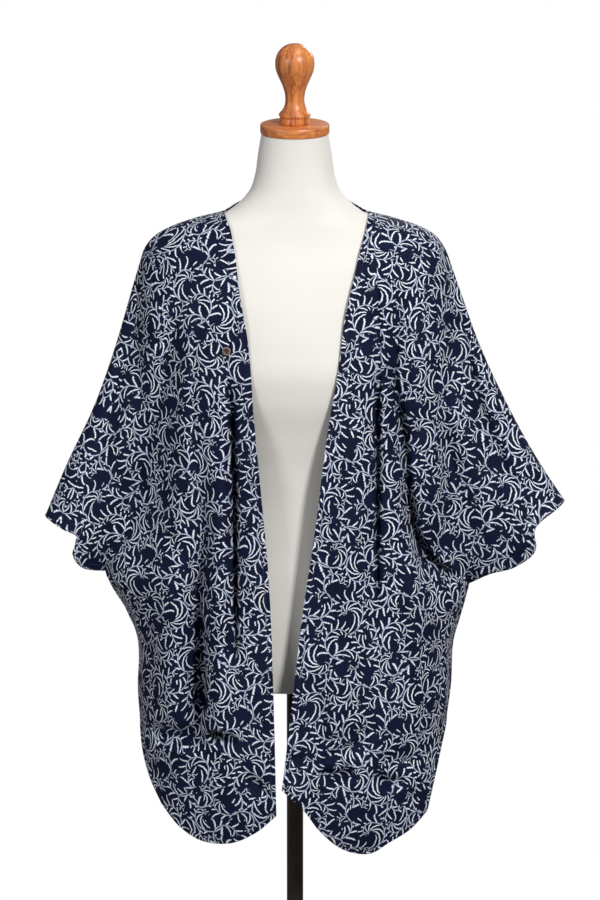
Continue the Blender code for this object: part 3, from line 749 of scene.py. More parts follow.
def wrinkled(points, number):
    """The grid with the slight unevenness of soft cloth, none of it at the seams.

    number is the panel's own, so that no two panels are uneven alike.
    """
    moved = points.copy()
    calm = np.clip(np.abs(points[..., 1]) / CALM_DEPTH, 0.0, 1.0)
    for spot in np.ndindex(calm.shape):
        x, _, z = points[spot]
        wrinkle = Vector((x / WRINKLE_WIDE + number * WRINKLE_APART, z / WRINKLE_TALL, number))
        ripple = Vector((x / RIPPLE_WIDE + number * RIPPLE_APART, z / RIPPLE_TALL, RIPPLE_LAYER))
        rise = WRINKLE_HEIGHT * noise.noise(wrinkle) + RIPPLE_HEIGHT * noise.noise(ripple)
        moved[spot][1] += calm[spot] * rise
    return moved


def clear_of_form(points, tree):
    """The grid with each point at least CLOTH_OFF_FORM outside the form."""
    moved = points.copy()
    for spot in np.ndindex(points.shape[:2]):
        place = Vector(points[spot])
        near, normal, _, _ = tree.find_nearest(place, FORM_NEAR)
        if near is not None and (place - near).dot(normal) < CLOTH_OFF_FORM:
            moved[spot] = near + normal * CLOTH_OFF_FORM
    return moved


def filled_in(values, picked, count):
    """Values of the picked lines of a grid's first axis, made into values of all its lines."""
    columns = values.reshape(len(values), -1).T
    full = np.stack([np.interp(np.arange(count), picked, column) for column in columns], axis=-1)
    return full.reshape(count, *values.shape[1:])


def paired(rows, columns):
    """Neighbours in a grid, in groups in which no place comes twice: two arrays of row and column."""
    i, j = np.meshgrid(np.arange(rows), np.arange(columns), indexing="ij")
    for down, across in ((0, 1), (1, 0), (1, 1), (1, -1)):
        for odd in (0, 1):
            keep = ((i if down else j) % 2 == odd) & (i + down < rows)
            keep &= (j + across < columns) & (j + across >= 0)
            yield (i[keep], j[keep]), (i[keep] + down, j[keep] + across)


def laid_flat(points):
    """The panel's cut: flat places whose distances along the grid are those of the folded cloth."""
    rows, columns = points.shape[:2]
    pick_i = np.unique(np.append(np.arange(0, rows, FLAT_STEP), rows - 1))
    pick_j = np.unique(np.append(np.arange(0, columns, FLAT_STEP), columns - 1))
    solid = points[np.ix_(pick_i, pick_j)]
    middle = solid.shape[1] // 2
    run = np.array([lengths(row) for row in solid])
    fall = np.array([lengths(column) for column in solid.transpose(1, 0, 2)]).T
    flat = np.stack([run - run[:, middle:middle + 1], -fall], axis=-1)
    flat += solid[:, middle:middle + 1, [0, 2]] - flat[:, middle:middle + 1]
    flat[..., 1] += solid[:1, :, 2] - solid[:1, middle:middle + 1, 2]
    pairs = [
        (here, there, np.linalg.norm(solid[here] - solid[there], axis=-1))
        for here, there in paired(len(pick_i), len(pick_j))
    ]
    for _ in range(FLAT_ROUNDS):
        for here, there, size in pairs:
            gap = flat[there] - flat[here]
            now = np.maximum(np.linalg.norm(gap, axis=-1), 1e-6)
            pull = (0.5 * (now - size) / now)[:, None] * gap
            flat[here] += pull
            flat[there] -= pull
    wide = filled_in(flat.transpose(1, 0, 2), pick_j, columns)
    return filled_in(wide.transpose(1, 0, 2), pick_i, rows)


def placed(name, data):
    """An object in the scene."""
    made = bpy.data.objects.new(name, data)
    bpy.context.scene.collection.objects.link(made)
    return made


def new_mesh(name, verts, faces, finish):
    """A mesh from points in mm."""
    mesh = bpy.data.meshes.new(name)
    mesh.from_pydata((np.asarray(verts, float) * MM).tolist(), [], faces)
    mesh.materials.append(finish)
    return mesh


def piece(name, verts, faces, finish):
    """A smooth object from points in mm, which rides on the body."""
    made = placed(name, new_mesh(name, verts, faces, finish))
    made.data.shade_smooth()
    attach(made, BODY)
    return made


def grid_faces(rows, columns, start=0, flip=False):
    """Quads of a grid of points that are numbered row by row."""
    i, j = np.meshgrid(np.arange(rows - 1), np.arange(columns - 1), indexing="ij")
    a = (start + i * columns + j).ravel()
    quads = np.stack([a, a + columns, a + columns + 1, a + 1], axis=1)
    return quads[:, ::-1] if flip else quads


def rim_faces(rows, columns, flip):
    """Quads that join the borders of two grids, the second numbered after the first."""
    numbers = np.arange(rows * columns).reshape(rows, columns)
    line = np.concatenate([
        numbers[0], numbers[1:, -1], numbers[-1, -2::-1], numbers[-2:0:-1, 0],
    ])
    after = np.roll(line, -1)
    quads = np.stack([line, after, after + numbers.size, line + numbers.size], axis=1)
    return quads[:, ::-1] if flip else quads


def hem_height(flat, free):
    """How much thicker a turned hem and its stitches make each point of a panel."""
    away = np.full(flat.shape[:2], np.inf)
    for line in free:
        away = np.minimum(away, from_line(flat[..., 0], flat[..., 1], flat[tuple(zip(*line))])[0])
    step = np.clip(HEM_WIDTH - away + 0.5, 0.0, 1.0)
    groove = np.exp(-(((away - STITCH_IN) / GROOVE_HALF) ** 2))
    return HEM_THICKNESS * eased(step) - HEM_GROOVE * groove


def cloth_wall(panel, finish):
    """A panel's wall, with its cut as its UV map in metres."""
    rows, columns = panel.points.shape[:2]
    normal, turns = normals_of(panel.points, panel.facing)
    extra = hem_height(panel.flat, panel.free)[..., None]
    outer = panel.points + normal * (THICKNESS + extra)
    count = rows * columns
    faces = np.concatenate([
        grid_faces(rows, columns, 0, not turns),
        grid_faces(rows, columns, count, turns),
        rim_faces(rows, columns, not turns),
    ])
    verts = np.concatenate([panel.points, outer]).reshape(-1, 3)
    made = piece(panel.name + "_cloth", verts, faces.tolist(), finish)
    corners = np.zeros(len(made.data.loops), int)
    made.data.loops.foreach_get("vertex_index", corners)
    places = np.concatenate([panel.flat, panel.flat]).reshape(-1, 2) * MM
    made.data.uv_layers.new(name="cut").data.foreach_set("uv", places[corners].ravel())
    outside = made.data.attributes.new("outside", "FLOAT", "POINT")
    outside.data.foreach_set("value", np.repeat([0.0, 1.0], count))
    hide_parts(panel.name)
    return made


class Graph:
    """Short ways to add nodes to a material's or a group's tree."""

    def __init__(self, tree):
        self.tree = tree

    def put(self, socket, value):
        if isinstance(value, bpy.types.NodeSocket):
            self.tree.links.new(value, socket)
        else:
            socket.default_value = value

    def node(self, kind, inputs=None, **settings):
        """A node with its settings, and with sockets or values put into its inputs."""
        made = self.tree.nodes.new(kind)
        for key, value in settings.items():
            setattr(made, key, value)
        for key, value in (inputs or {}).items():
            self.put(made.inputs[key], value)
        return made

    def math(self, operation, *values, clamp=False):
        inputs = dict(enumerate(values))
        return self.node("ShaderNodeMath", inputs, operation=operation, use_clamp=clamp).outputs[0]

    def times(self, first, second, plus=None, clamp=False):
        """A product, to which something may be added."""
        if plus is None:
            return self.math("MULTIPLY", first, second, clamp=clamp)
        return self.math("MULTIPLY_ADD", first, second, plus, clamp=clamp)

    def less(self, first, second, clamp=False):
        return self.math("SUBTRACT", first, second, clamp=clamp)

    def over(self, first, second):
        return self.math("DIVIDE", first, second)

    def size(self, value):
        return self.math("ABSOLUTE", value)

    def vector(self, operation, *values, out=0):
        inputs = dict(enumerate(values))
        return self.node("ShaderNodeVectorMath", inputs, operation=operation).outputs[out]

    def scaled(self, vector, factor):
        inputs = {0: vector, "Scale": factor}
        return self.node("ShaderNodeVectorMath", inputs, operation="SCALE").outputs[0]

    def triple(self, *values):
        return self.node("ShaderNodeCombineXYZ", dict(enumerate(values))).outputs[0]

    def split(self, vector):
        return self.node("ShaderNodeSeparateXYZ", {0: vector}).outputs

    def choose(self, share, first, second):
        """A vector between two others."""
        inputs = {0: share, 4: first, 5: second}
        return self.node("ShaderNodeMix", inputs, data_type="VECTOR").outputs[1]

    def mix(self, share, first, second):
        """A colour between two others."""
        inputs = {0: share, 6: first, 7: second}
        return self.node("ShaderNodeMix", inputs, data_type="RGBA").outputs[2]

    def noise(self, place, scale, detail=2.0, roughness=0.5, out=0):
        inputs = {"Vector": place, "Scale": scale, "Detail": detail, "Roughness": roughness}
        return self.node("ShaderNodeTexNoise", inputs).outputs[out]

    def weave(self, warp, warp_rate, weft, weft_rate):
        """The height of crossing threads: rates are in radians per unit of warp and of weft."""
        warp = self.math("SINE", self.times(warp, warp_rate))
        weft = self.math("SINE", self.times(weft, weft_rate))
        return self.times(warp, weft)

    def ramp(self, value, *stops):
        """Colours by value, from pairs of a value and a colour."""
        made = self.node("ShaderNodeValToRGB", {0: value})
        elements = made.color_ramp.elements
        while len(elements) < len(stops):
            elements.new(0.5)
        for element, (place, colour) in zip(elements, stops):
            element.position = place
            element.color = (*colour, 1.0)
        return made.outputs[0]

    def bump(self, height, distance, strength=1.0, under=None):
        inputs = {"Strength": strength, "Distance": distance, "Height": height}
        if under is not None:
            inputs["Normal"] = under
        return self.node("ShaderNodeBump", inputs).outputs[0]


class Look(Graph):
    """The graph of a new Principled material."""

    def __init__(self, name, roughness, metallic=0.0):
        self.material = bpy.data.materials.new(name)
        self.material.use_nodes = True
        super().__init__(self.material.node_tree)
        self.set("Roughness", roughness)
        self.set("Metallic", metallic)

    def set(self, socket, value):
        self.put(self.tree.nodes["Principled BSDF"].inputs[socket], value)

    def place(self):
        """The object's own coordinates, in metres."""
        return self.node("ShaderNodeTexCoord").outputs["Object"]

    def colour(self, value, *stops):
        self.set("Base Color", self.ramp(value, *stops))

    def relief(self, height, distance, strength, under=None):
        self.set("Normal", self.bump(height, distance, strength, under))


CARRIED = {"Stem": "Vector", "Leaves": "Vector", "Nearest": "Float", "Next": "Float"}
GIVEN = {
    "Place": "Vector", "Centre": "Vector", "Towards": "Vector", "Aside": "Vector",
    "Half sweep": "Float", "Radius": "Float", "Curl": "Float", "Half length": "Float",
    "Seed": "Float", **CARRIED,
}


def stem_group():
    """A node group that passes on the nearest stem to a place: its own, or the one found so far.

    Stem holds the place's run along the stem, its distance outside it and the arc's radius there.
    Leaves holds the share of the arc's half length and a seed.
    """
    tree = bpy.data.node_groups.new("nearest_stem", "ShaderNodeTree")
    for sockets, way in ((GIVEN, "INPUT"), (CARRIED, "OUTPUT")):
        for name, kind in sockets.items():
            tree.interface.new_socket(name, in_out=way, socket_type="NodeSocket" + kind)
    g = Graph(tree)
    given = g.node("NodeGroupInput").outputs
    half = (REPEAT[0] / 2, REPEAT[1] / 2, 1.0)
    from_centre = g.vector("SUBTRACT", given["Place"], given["Centre"])
    wrapped = g.vector("WRAP", from_centre, half, [-v for v in half])
    aside = g.vector("DOT_PRODUCT", wrapped, given["Aside"], out=1)
    turn = g.math("ARCTAN2", aside, g.vector("DOT_PRODUCT", wrapped, given["Towards"], out=1))
    own = g.times(g.less(1.0, g.times(given["Curl"], turn)), given["Radius"])
    off = g.less(g.vector("LENGTH", wrapped, out=1), own)
    share = g.over(turn, given["Half sweep"])
    past = g.math("MAXIMUM", g.less(g.size(share), 1.0), 0.0)
    away = g.times(past, given["Half length"], plus=g.size(off))
    nearer = g.math("LESS_THAN", away, given["Nearest"])
    following = g.math("MINIMUM", given["Next"], g.math("MAXIMUM", given["Nearest"], away))
    nearest = g.math("MINIMUM", given["Nearest"], away)
    stem = g.choose(nearer, given["Stem"], g.triple(g.times(turn, given["Radius"]), off, own))
    leaves = g.choose(nearer, given["Leaves"], g.triple(share, given["Seed"], 0.0))
    g.node("NodeGroupOutput", dict(zip(CARRIED, (stem, leaves, nearest, following))))
    return tree


def nearest_stem(g, place):
    """The nearest stem to a place in millimetres, as the four outputs of the last group."""
    group = stem_group()
    so_far = {"Nearest": FAR, "Next": FAR}
    for number, sprig in enumerate(SPRIGS):
        half = math.radians(sprig.sweep / 2)
        c, s = math.cos(math.radians(sprig.middle)), math.sin(math.radians(sprig.middle))
        one = g.node("ShaderNodeGroup", node_tree=group)
        for name, value in {
            "Place": place, "Centre": (sprig.x, sprig.y, 0.0), "Towards": (c, s, 0.0),
            "Aside": (-sprig.way * s, sprig.way * c, 0.0), "Half sweep": half,
            "Radius": sprig.radius, "Curl": sprig.curl, "Half length": half * sprig.radius,
            "Seed": SEED_STEP * number, **so_far,
        }.items():
            g.put(one.inputs[name], value)
        so_far = {name: one.outputs[name] for name in CARRIED}
    return so_far


def beside_leaf(g, along, off, own, away, outer, seed):
    """How far a place is from the middle line of the nearest leaf, and that leaf's luck.

    The leaves stand in rows on both sides of a stem. away is the place's distance from the stem,
    outer is 1 on its outer side and 0 on its inner one, and count numbers the leaves of a row.
    """
    pitch = g.times(outer, LEAF_PITCH * (1 - INNER_PITCH), plus=LEAF_PITCH * INNER_PITCH)
    bend = g.times(outer, 2 * LEAF_BEND, plus=-LEAF_BEND)
    slope = g.times(away, bend, plus=-LEAF_LEAN)
    base = g.times(slope, away, plus=along)
    count = g.math("ADD", g.over(base, pitch), g.times(outer, 0.5))
    number = g.math("FLOOR", count)
    beside = g.size(g.less(g.less(count, number), 0.5))
    lean = g.times(away, bend, plus=slope)
    around = g.over(own, g.math("MAXIMUM", g.math("ADD", own, off), LEAST_REACH))
    steep = g.times(lean, lean, plus=g.times(around, around))
    beside = g.times(beside, g.over(pitch, g.math("SQRT", steep)))
    mixed = g.times(outer, LUCK[0], plus=g.math("ADD", number, seed))
    return beside, g.math("FRACT", g.times(g.math("SINE", g.times(mixed, LUCK[1])), LUCK[2]))


def leaf_shape(g, away, outer, own, share, luck):
    """What half a leaf's width is made of: its swelling from the stem, its tip and its beads.

    Leaves are shorter towards the ends of their stem, and luck makes each a little longer.
    """
    tail = g.math("POWER", g.size(share), 3.0)
    tail = g.math("SQRT", g.math("MAXIMUM", g.less(LEAF_SHORTER, tail), LEAST_TAIL))
    size = g.times(luck, LEAF_LUCK * LEAF_LENGTH, plus=LEAF_SURE * LEAF_LENGTH)
    room = g.times(outer, FAR, plus=g.times(own, INNER_LENGTH))
    size = g.math("MINIMUM", g.times(size, tail), room)
    swell = g.times(away, 0.5, clamp=True)
    tip = g.math("SQRT", g.times(g.over(away, size), -TIP_SHARP, plus=TIP_SHARP, clamp=True))
    bead = g.math("SINE", g.times(away, BEAD_RATE, plus=g.times(luck, BEAD_LUCK)))
    bead = g.times(bead, BEAD_SHARE * LEAF_HALF, plus=LEAF_HALF)
    return swell, tip, bead


def print_masks(g, place):
    """How much of the print's leaves and stems lies at a place in millimetres."""
    found = nearest_stem(g, place)
    along, off, own = g.split(found["Stem"])
    share, seed, _ = g.split(found["Leaves"])
    away, outer = g.size(off), g.math("GREATER_THAN", off, 0.0)
    beside, luck = beside_leaf(g, along, off, own, away, outer, seed)
    swell, tip, bead = leaf_shape(g, away, outer, own, share, luck)
    apart = g.less(found["Next"], found["Nearest"])
    clear = g.math("SQRT", g.less(apart, LEAF_APART, clamp=True))
    width = g.times(g.times(g.times(swell, tip), bead), clear)
    leaf = g.times(g.less(width, beside), 1 / SOFT_EDGE, plus=0.5, clamp=True)
    inside = g.times(g.size(share), -END_SHARP, plus=END_SHARP * STEM_ENDS, clamp=True)
    leaf = g.times(g.times(leaf, inside), g.math("GREATER_THAN", width, LEAST_LEAF))
    thin = g.times(share, -STEM_TAPER * STEM_HALF, plus=STEM_MIDDLE * STEM_HALF)
    thin = g.times(thin, g.times(apart, STEM_PARTS, plus=STEM_MEETS, clamp=True))
    line = g.times(g.less(thin, found["Nearest"]), 1 / SOFT_EDGE, plus=0.5, clamp=True)
    return leaf, line


def cloth_material():
    """Navy rayon with a pale leaf print, in the cut's own coordinates."""
    g = Look("navy_print", 0.72)
    place = g.scaled(g.node("ShaderNodeUVMap", uv_map="cut").outputs[0], 1 / MM)
    wobble = g.vector("SUBTRACT", g.noise(place, DRIFT_SCALE, 1.0, out=1), (0.5, 0.5, 0.5))
    drift = g.vector("MULTIPLY_ADD", wobble, (PRINT_DRIFT, PRINT_DRIFT, 0.0), place)
    inputs = {"Vector": drift, "Angle": PRINT_TURN}
    spun = g.node("ShaderNodeVectorRotate", inputs, rotation_type="Z_AXIS").outputs[0]
    leaves, stems = print_masks(g, g.scaled(spun, 1 / PRINT_SIZE))
    wear = g.noise(place, 0.9, 2.0, 0.6)
    outside = g.node("ShaderNodeAttribute", attribute_name="outside").outputs["Fac"]
    through = g.times(outside, 1.0 - REVERSE_SHARE, plus=REVERSE_SHARE)
    ink = g.times(leaves, g.times(wear, 0.5, plus=0.7, clamp=True))
    thin = g.times(stems, g.times(wear, 0.6, plus=0.55, clamp=True))
    dye = g.ramp(
        g.noise(place, 0.02, 3.0), (0.3, (0.0038, 0.0066, 0.025)), (0.7, (0.0065, 0.0108, 0.040))
    )
    colour = g.mix(g.times(thin, through), dye, (0.58, 0.65, 0.82, 1.0))
    g.set("Base Color", g.mix(g.times(ink, through), colour, (0.85, 0.90, 1.0, 1.0)))
    u, v, _ = g.split(place)
    fine = g.bump(g.weave(u, math.tau / WEAVE_STEP, v, math.tau / WEAVE_STEP), 0.00006, 0.5)
    g.relief(g.noise(place, 0.35, 3.0), 0.0006, 0.35, fine)
    g.set("Specular IOR Level", 0.1)
    return g.material


def thread_material():
    """Navy sewing thread."""
    g = Look("navy_thread", 0.6)
    place = g.place()
    g.colour(g.noise(place, 900.0), (0.35, (0.02, 0.024, 0.06)), (0.65, (0.045, 0.05, 0.10)))
    g.relief(g.noise(place, 2600.0), 0.0002, 0.6)
    return g.material


def linen_material():
    """The form's cover: close cream cloth, drawn tight."""
    g = Look("cream_cover", 0.85)
    place = g.place()
    g.colour(g.noise(place, 7.0, 3.0), (0.3, (0.80, 0.775, 0.725)), (0.7, (0.85, 0.83, 0.785)))
    x, y, z = g.split(place)
    weave = g.weave(g.math("ARCTAN2", y, x), 900.0, z, math.tau / 0.0008)
    g.relief(g.noise(place, 160.0, 3.0), 0.0003, 0.3, g.bump(weave, 0.00008, 0.4))
    g.set("Sheen Weight", 0.15)
    return g.material


def wood_material(name, stretch):
    """Varnished red-brown wood. stretch is how fast its grain changes along X, Y and Z."""
    g = Look(name, 0.40)
    drawn = g.vector("MULTIPLY", g.place(), stretch)
    streak = g.noise(drawn, 1.0, 4.0, 0.6)
    grain = g.times(streak, 0.6, plus=g.times(g.noise(drawn, 0.22, 2.0), 0.4))
    g.colour(
        grain, (0.34, (0.23, 0.058, 0.017)), (0.5, (0.61, 0.187, 0.048)),
        (0.66, (0.88, 0.34, 0.090)),
    )
    g.relief(streak, 0.0002, 0.2)
    g.set("Coat Weight", 0.3)
    g.set("Coat Roughness", 0.3)
    return g.material


def metal_material():
    """Dark bronzed steel."""
    g = Look("dark_metal", 0.34, 0.85)
    place = g.place()
    g.colour(g.noise(place, 14.0, 4.0), (0.3, (0.035, 0.028, 0.024)), (0.7, (0.075, 0.060, 0.050)))
    g.set("Roughness", g.times(g.noise(place, 60.0, 3.0), 0.18, plus=0.26))
    g.relief(g.noise(place, 420.0, 2.0), 0.0001, 0.2)
    return g.material


def shell_material():
    """Polished coconut shell with short dark and pale fibres, and with painted shade and light: darker
    towards its sunken middle and paler towards its rim.
    """
    g = Look("coconut_shell_painted_shade", 0.35)
    place = g.place()
    drawn = g.vector("MULTIPLY", place, (900.0, 300.0, 2200.0))
    # painted shade and light: the colour is dark towards the sunken middle and pale towards the rim
    rim = g.vector("LENGTH", g.vector("MULTIPLY", place, (190.0, 190.0, 0.0)), out=1)
    g.colour(
        g.times(rim, 0.7, plus=g.times(g.noise(drawn, 1.0, 3.0), 0.3)),
        (0.35, (0.040, 0.018, 0.012)), (0.62, (0.12, 0.062, 0.042)), (0.85, (0.36, 0.25, 0.20)),
    )
    g.relief(g.noise(drawn, 1.4, 2.0), 0.0002, 0.3)
    return g.material


def floor_material():
    """A plain pale floor."""
    g = Look("pale_floor", 0.8)
    g.colour(g.noise(g.place(), 1.5, 3.0), (0.3, (0.83, 0.83, 0.84)), (0.7, (0.86, 0.86, 0.87)))
    return g.material


def neck_axis(z):
    """How far forward the neck's middle is at a height, and its lean there."""
    span = FORM[-1].z - NECK_FOOT
    up = np.maximum(0.0, z - NECK_FOOT)
    return -math.tan(NECK_LEAN) * up * up / (2 * span), NECK_LEAN * up / span


def form_points():
    """The form's skin as rings of points, from its underside to the top of its neck."""
    knots, *columns = zip(*FORM)
    heights = []
    for low, high in zip(knots, knots[1:]):
        count = max(1, round((high - low) / FORM_STEP))
        heights += [low + (high - low) * k / count for k in range(count)]
    z = np.array(heights + [knots[-1]])[:, None]
    turn = np.linspace(0.0, math.tau, FORM_AROUND, endpoint=False)[None]
    c, s = np.cos(turn), np.sin(turn)
    reach = (np.abs(c) ** FORM_ROUND + np.abs(s) ** FORM_ROUND) ** (-1.0 / FORM_ROUND)
    widths, fronts, backs = (through(knots, column, z) for column in columns)
    y = np.where(s > 0, backs, fronts) * reach * s
    forward, lean = neck_axis(z)
    parts = (widths * reach * c, forward + y * np.cos(lean), z + y * np.sin(lean))
    return np.stack(np.broadcast_arrays(*parts), axis=-1)


def ring_faces(rows, around):
    """Quads between closed rings of points, and a cap at each end."""
    i, k = np.meshgrid(np.arange(rows - 1), np.arange(around), indexing="ij")
    a = (i * around + k).ravel()
    b = (i * around + (k + 1) % around).ravel()
    quads = np.stack([a, b, b + around, a + around], axis=1).tolist()
    return quads + [list(range(around))[::-1], list(range((rows - 1) * around, rows * around))]


def add_form(finish):
    """The dress form, with its lower rim slightly rounded."""
    points = form_points()
    rim = []
    for k in range(RIM_STEPS):
        angle = math.pi / 2 * k / RIM_STEPS
        ring = points[0].copy()
        ring[:, :2] *= 1 - RIM_SHARE * (1 - math.sin(angle))
        ring[:, 2] += RIM_HEIGHT * (1 - math.cos(angle))
        rim.append(ring)
    points = np.concatenate([rim, points[1:]])
    made = piece("dress_form", points.reshape(-1, 3), ring_faces(*points.shape[:2]), finish)
    made.data.set_sharp_from_angle(angle=FORM_SHARP)
    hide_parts("form_body")
    return made


def lathe(name, rings, around, finish, fine=None):
    """A turned solid from rings, each a radius and a height, that run down its outer side.

    fine is how many rings a smooth curve through the given ones gets.
    """
    if fine:
        rings = spline(np.array(rings, float), fine)
    turn = np.linspace(0.0, math.tau, around, endpoint=False)
    verts = [(r * math.cos(a), r * math.sin(a), z) for r, z in reversed(rings) for a in turn]
    made = piece(name, verts, ring_faces(len(rings), around), finish)
    made.data.set_sharp_from_angle(angle=TURNED_SHARP)
    return made


def moved_by(made, place, turn=(0.0, 0.0, 0.0)):
    """Puts a piece at a place in mm, with its turn in radians."""
    made.location = [v * MM for v in place]
    made.rotation_euler = turn
    return made


def on_neck(height):
    """The place at a height above the neck's top, along its lean."""
    forward, lean = neck_axis(FORM[-1].z)
    return (
        (0.0, float(forward) - height * math.sin(lean), FORM[-1].z + height * math.cos(lean)),
        (float(lean), 0.0, 0.0),
    )


def add_stand():
    """The neck's disc and knob, the pole and the foot."""
    long_grain = wood_material("long_grain_wood", (300.0, 300.0, 16.0))
    cross_grain = wood_material("cross_grain_wood", (14.0, 240.0, 300.0))
    metal = metal_material()
    rim = CAP_BEVEL * (1 - math.sqrt(0.5))
    cap = lathe("neck_disc", (
        (CAP_RADIUS - CAP_BEVEL, CAP_HEIGHT), (CAP_RADIUS - rim, CAP_HEIGHT - rim),
        (CAP_RADIUS, CAP_HEIGHT - CAP_BEVEL), (CAP_RADIUS, CAP_BEVEL),
        (CAP_RADIUS - rim, rim), (CAP_RADIUS - CAP_BEVEL, 0),
    ), TURNED_SIDES, cross_grain)
    moved_by(cap, *on_neck(PART_GAP))
    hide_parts("neck_cap")
    knob = lathe("turned_knob", FINIAL, TURNED_SIDES, long_grain, KNOB_ROWS)
    moved_by(knob, *on_neck(PART_GAP + CAP_HEIGHT + PART_GAP))
    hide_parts("finial")
    ends = (POLE_RADIUS, FORM[0].z - PART_GAP), (POLE_RADIUS, FOOT[0][1] + PART_GAP)
    pole = lathe("slim_pole", ends, TURNED_SIDES, metal)
    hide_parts("pole")
    foot = lathe("round_foot", FOOT, FOOT_SIDES, metal)
    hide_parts("stand_base")


def points_of(made):
    """An object's own points, in mm."""
    co = np.zeros(len(made.data.vertices) * 3)
    made.data.vertices.foreach_get("co", co)
    return co.reshape(-1, 3) / MM


class Surface:
    """Finds places on a panel's outer face from places on its cut."""

    def __init__(self, panel, wall):
        rows, columns = panel.points.shape[:2]
        self.quads = grid_faces(rows, columns)
        self.flat = panel.flat.reshape(-1, 2)
        self.outer = points_of(wall)[rows * columns:]
        self.normal = normals_of(panel.points, panel.facing)[0].reshape(-1, 3)
        verts = [(x, y, 0.0) for x, y in self.flat]
        self.tree = BVHTree.FromPolygons(verts, self.quads.tolist())

    def at(self, place):
        """The point and the normal above a place on the cut."""
        near, _, index, _ = self.tree.find_nearest((place[0], place[1], 0.0))
        quad = self.quads[index]
        away = np.linalg.norm(self.flat[quad] - np.array(near)[:2], axis=1)
        weight = 1.0 / np.maximum(away, LEAST_AWAY) ** 2
        weight /= weight.sum()
        normal = weight @ self.normal[quad]
        return weight @ self.outer[quad], normal / np.linalg.norm(normal)

    def flat_of(self, x, z):
        """The cut's place under a place in the front view."""
        away = np.hypot(self.outer[:, 0] - x, self.outer[:, 2] - z)
        order = np.argsort(away)[:4]
        weight = 1.0 / np.maximum(away[order], LEAST_AWAY)
        return (weight[:, None] * self.flat[order]).sum(axis=0) / weight.sum()

    def stitch(self, start, end, radius, lift):
        """A short thread between two places on the cut."""
        first, normal = self.at(start)
        return thread_grain(first, self.at(end)[0], normal, radius, lift)


def thread_grain(start, end, normal, radius, lift):
    """One stitch: a short thread from start to end, which stands a little out of the cloth."""
    along = end - start
    across = np.cross(normal, along / np.linalg.norm(along))
    verts = []
    for share, thick, rise in GRAIN_RINGS:
        middle = start + along * share + normal * (rise * radius + lift)
        for turn in math.tau * np.arange(GRAIN_SIDES) / GRAIN_SIDES:
            verts.append(middle + radius * thick * (math.cos(turn) * across + math.sin(turn) * normal))
    return verts


def stitches(name, grains, finish):
    """One piece of many stitches."""
    each = ring_faces(len(GRAIN_RINGS), GRAIN_SIDES)
    faces = [[len(grains[0]) * k + v for v in face] for k in range(len(grains)) for face in each]
    made = piece(name, np.concatenate(grains), faces, finish)
    return made


def hem_stitches(panel, surface, thread):
    """A row of stitches along every free edge of a panel."""
    grains = []
    middle = panel.flat.reshape(-1, 2).mean(axis=0)
    for line in panel.free:
        border = panel.flat[tuple(zip(*line))]
        measure = lengths(border)
        count = int(measure[-1] / STITCH_STEP)
        for s in np.linspace(STITCH_STEP, measure[-1] - STITCH_STEP, count):
            ends = []
            for t in (s - STITCH_LENGTH / 2, s + STITCH_LENGTH / 2):
                before, place, after = on_line(border, measure, (t - STITCH_AIM, t, t + STITCH_AIM))
                run = after - before
                inward = np.array([-run[1], run[0]]) / max(np.linalg.norm(run), 1e-6)
                if inward @ (middle - place) < 0:
                    inward = -inward
                ends.append(surface.at(place + STITCH_IN * inward))
            (start, normal), (end, _) = ends
            if np.linalg.norm(end - start) > STITCH_LEAST:
                grains.append(thread_grain(start, end, normal, STITCH_RADIUS, 0.0))
    return stitches(panel.name + "_stitches", grains, thread)


def add_buttonhole(surface, thread):
    """A worked buttonhole: a slit with close stitches across both sides and a bar at each end."""
    centre = surface.flat_of(HOLE_X, HOLE_Z)
    grains = []
    for v in HOLE_LENGTH * (np.arange(HOLE_STITCHES + 1) / HOLE_STITCHES - 0.5):
        for side in (-1, 1):
            slit, edge = centre + (side * HOLE_SLIT, v), centre + (side * HOLE_EDGE, v)
            grains.append(surface.stitch(slit, edge, HOLE_THREAD, HOLE_LIFT))
    for side in (-1, 1):
        for k in range(BAR_STITCHES):
            v = side * (HOLE_LENGTH / 2 + BAR_STEP * (k + 1))
            left, right = centre + (-HOLE_EDGE, v), centre + (HOLE_EDGE, v)
            grains.append(surface.stitch(left, right, HOLE_THREAD, BAR_LIFT))
    return stitches("buttonhole", grains, thread)


def add_button(shell, thread, surface):
    """The button where its solid lies, dished, and the threads across its middle."""
    low, high = (np.array(v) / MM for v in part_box("button"))
    centre = (low + high) / 2
    _, normal = surface.at(surface.flat_of(centre[0], centre[2]))
    tall = Vector(normal).to_track_quat("Z", "Y")
    made = lathe("shell_button", BUTTON, BUTTON_SIDES, shell, BUTTON_ROWS)
    foot = centre - normal * BUTTON_HEIGHT / 2
    moved_by(made, foot, tall.to_euler())
    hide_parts("button")
    across, up = (np.array(tall @ Vector(axis)) for axis in ((1, 0, 0), (0, 1, 0)))
    grains = []
    for k in (-1, 0, 1):
        middle = foot + normal * BUTTON_WELL + up * (k * SEWN_STEP)
        start, end = middle - across * SEWN_HALF, middle + across * SEWN_HALF
        grains.append(thread_grain(start, end, normal, SEWN_RADIUS, SEWN_LIFT))
    return made, stitches("button_thread", grains, thread)


def flat_size(panel):
    """A cut's width, length and area, in metres."""
    flat = panel.flat * MM
    wide, tall = (np.ptp(flat[..., k]) for k in (0, 1))
    a, b = flat[1:, 1:] - flat[:-1, :-1], flat[1:, :-1] - flat[:-1, 1:]
    area = np.abs(a[..., 0] * b[..., 1] - a[..., 1] * b[..., 0]).sum() / 2
    return (float(wide), float(tall)), float(area)


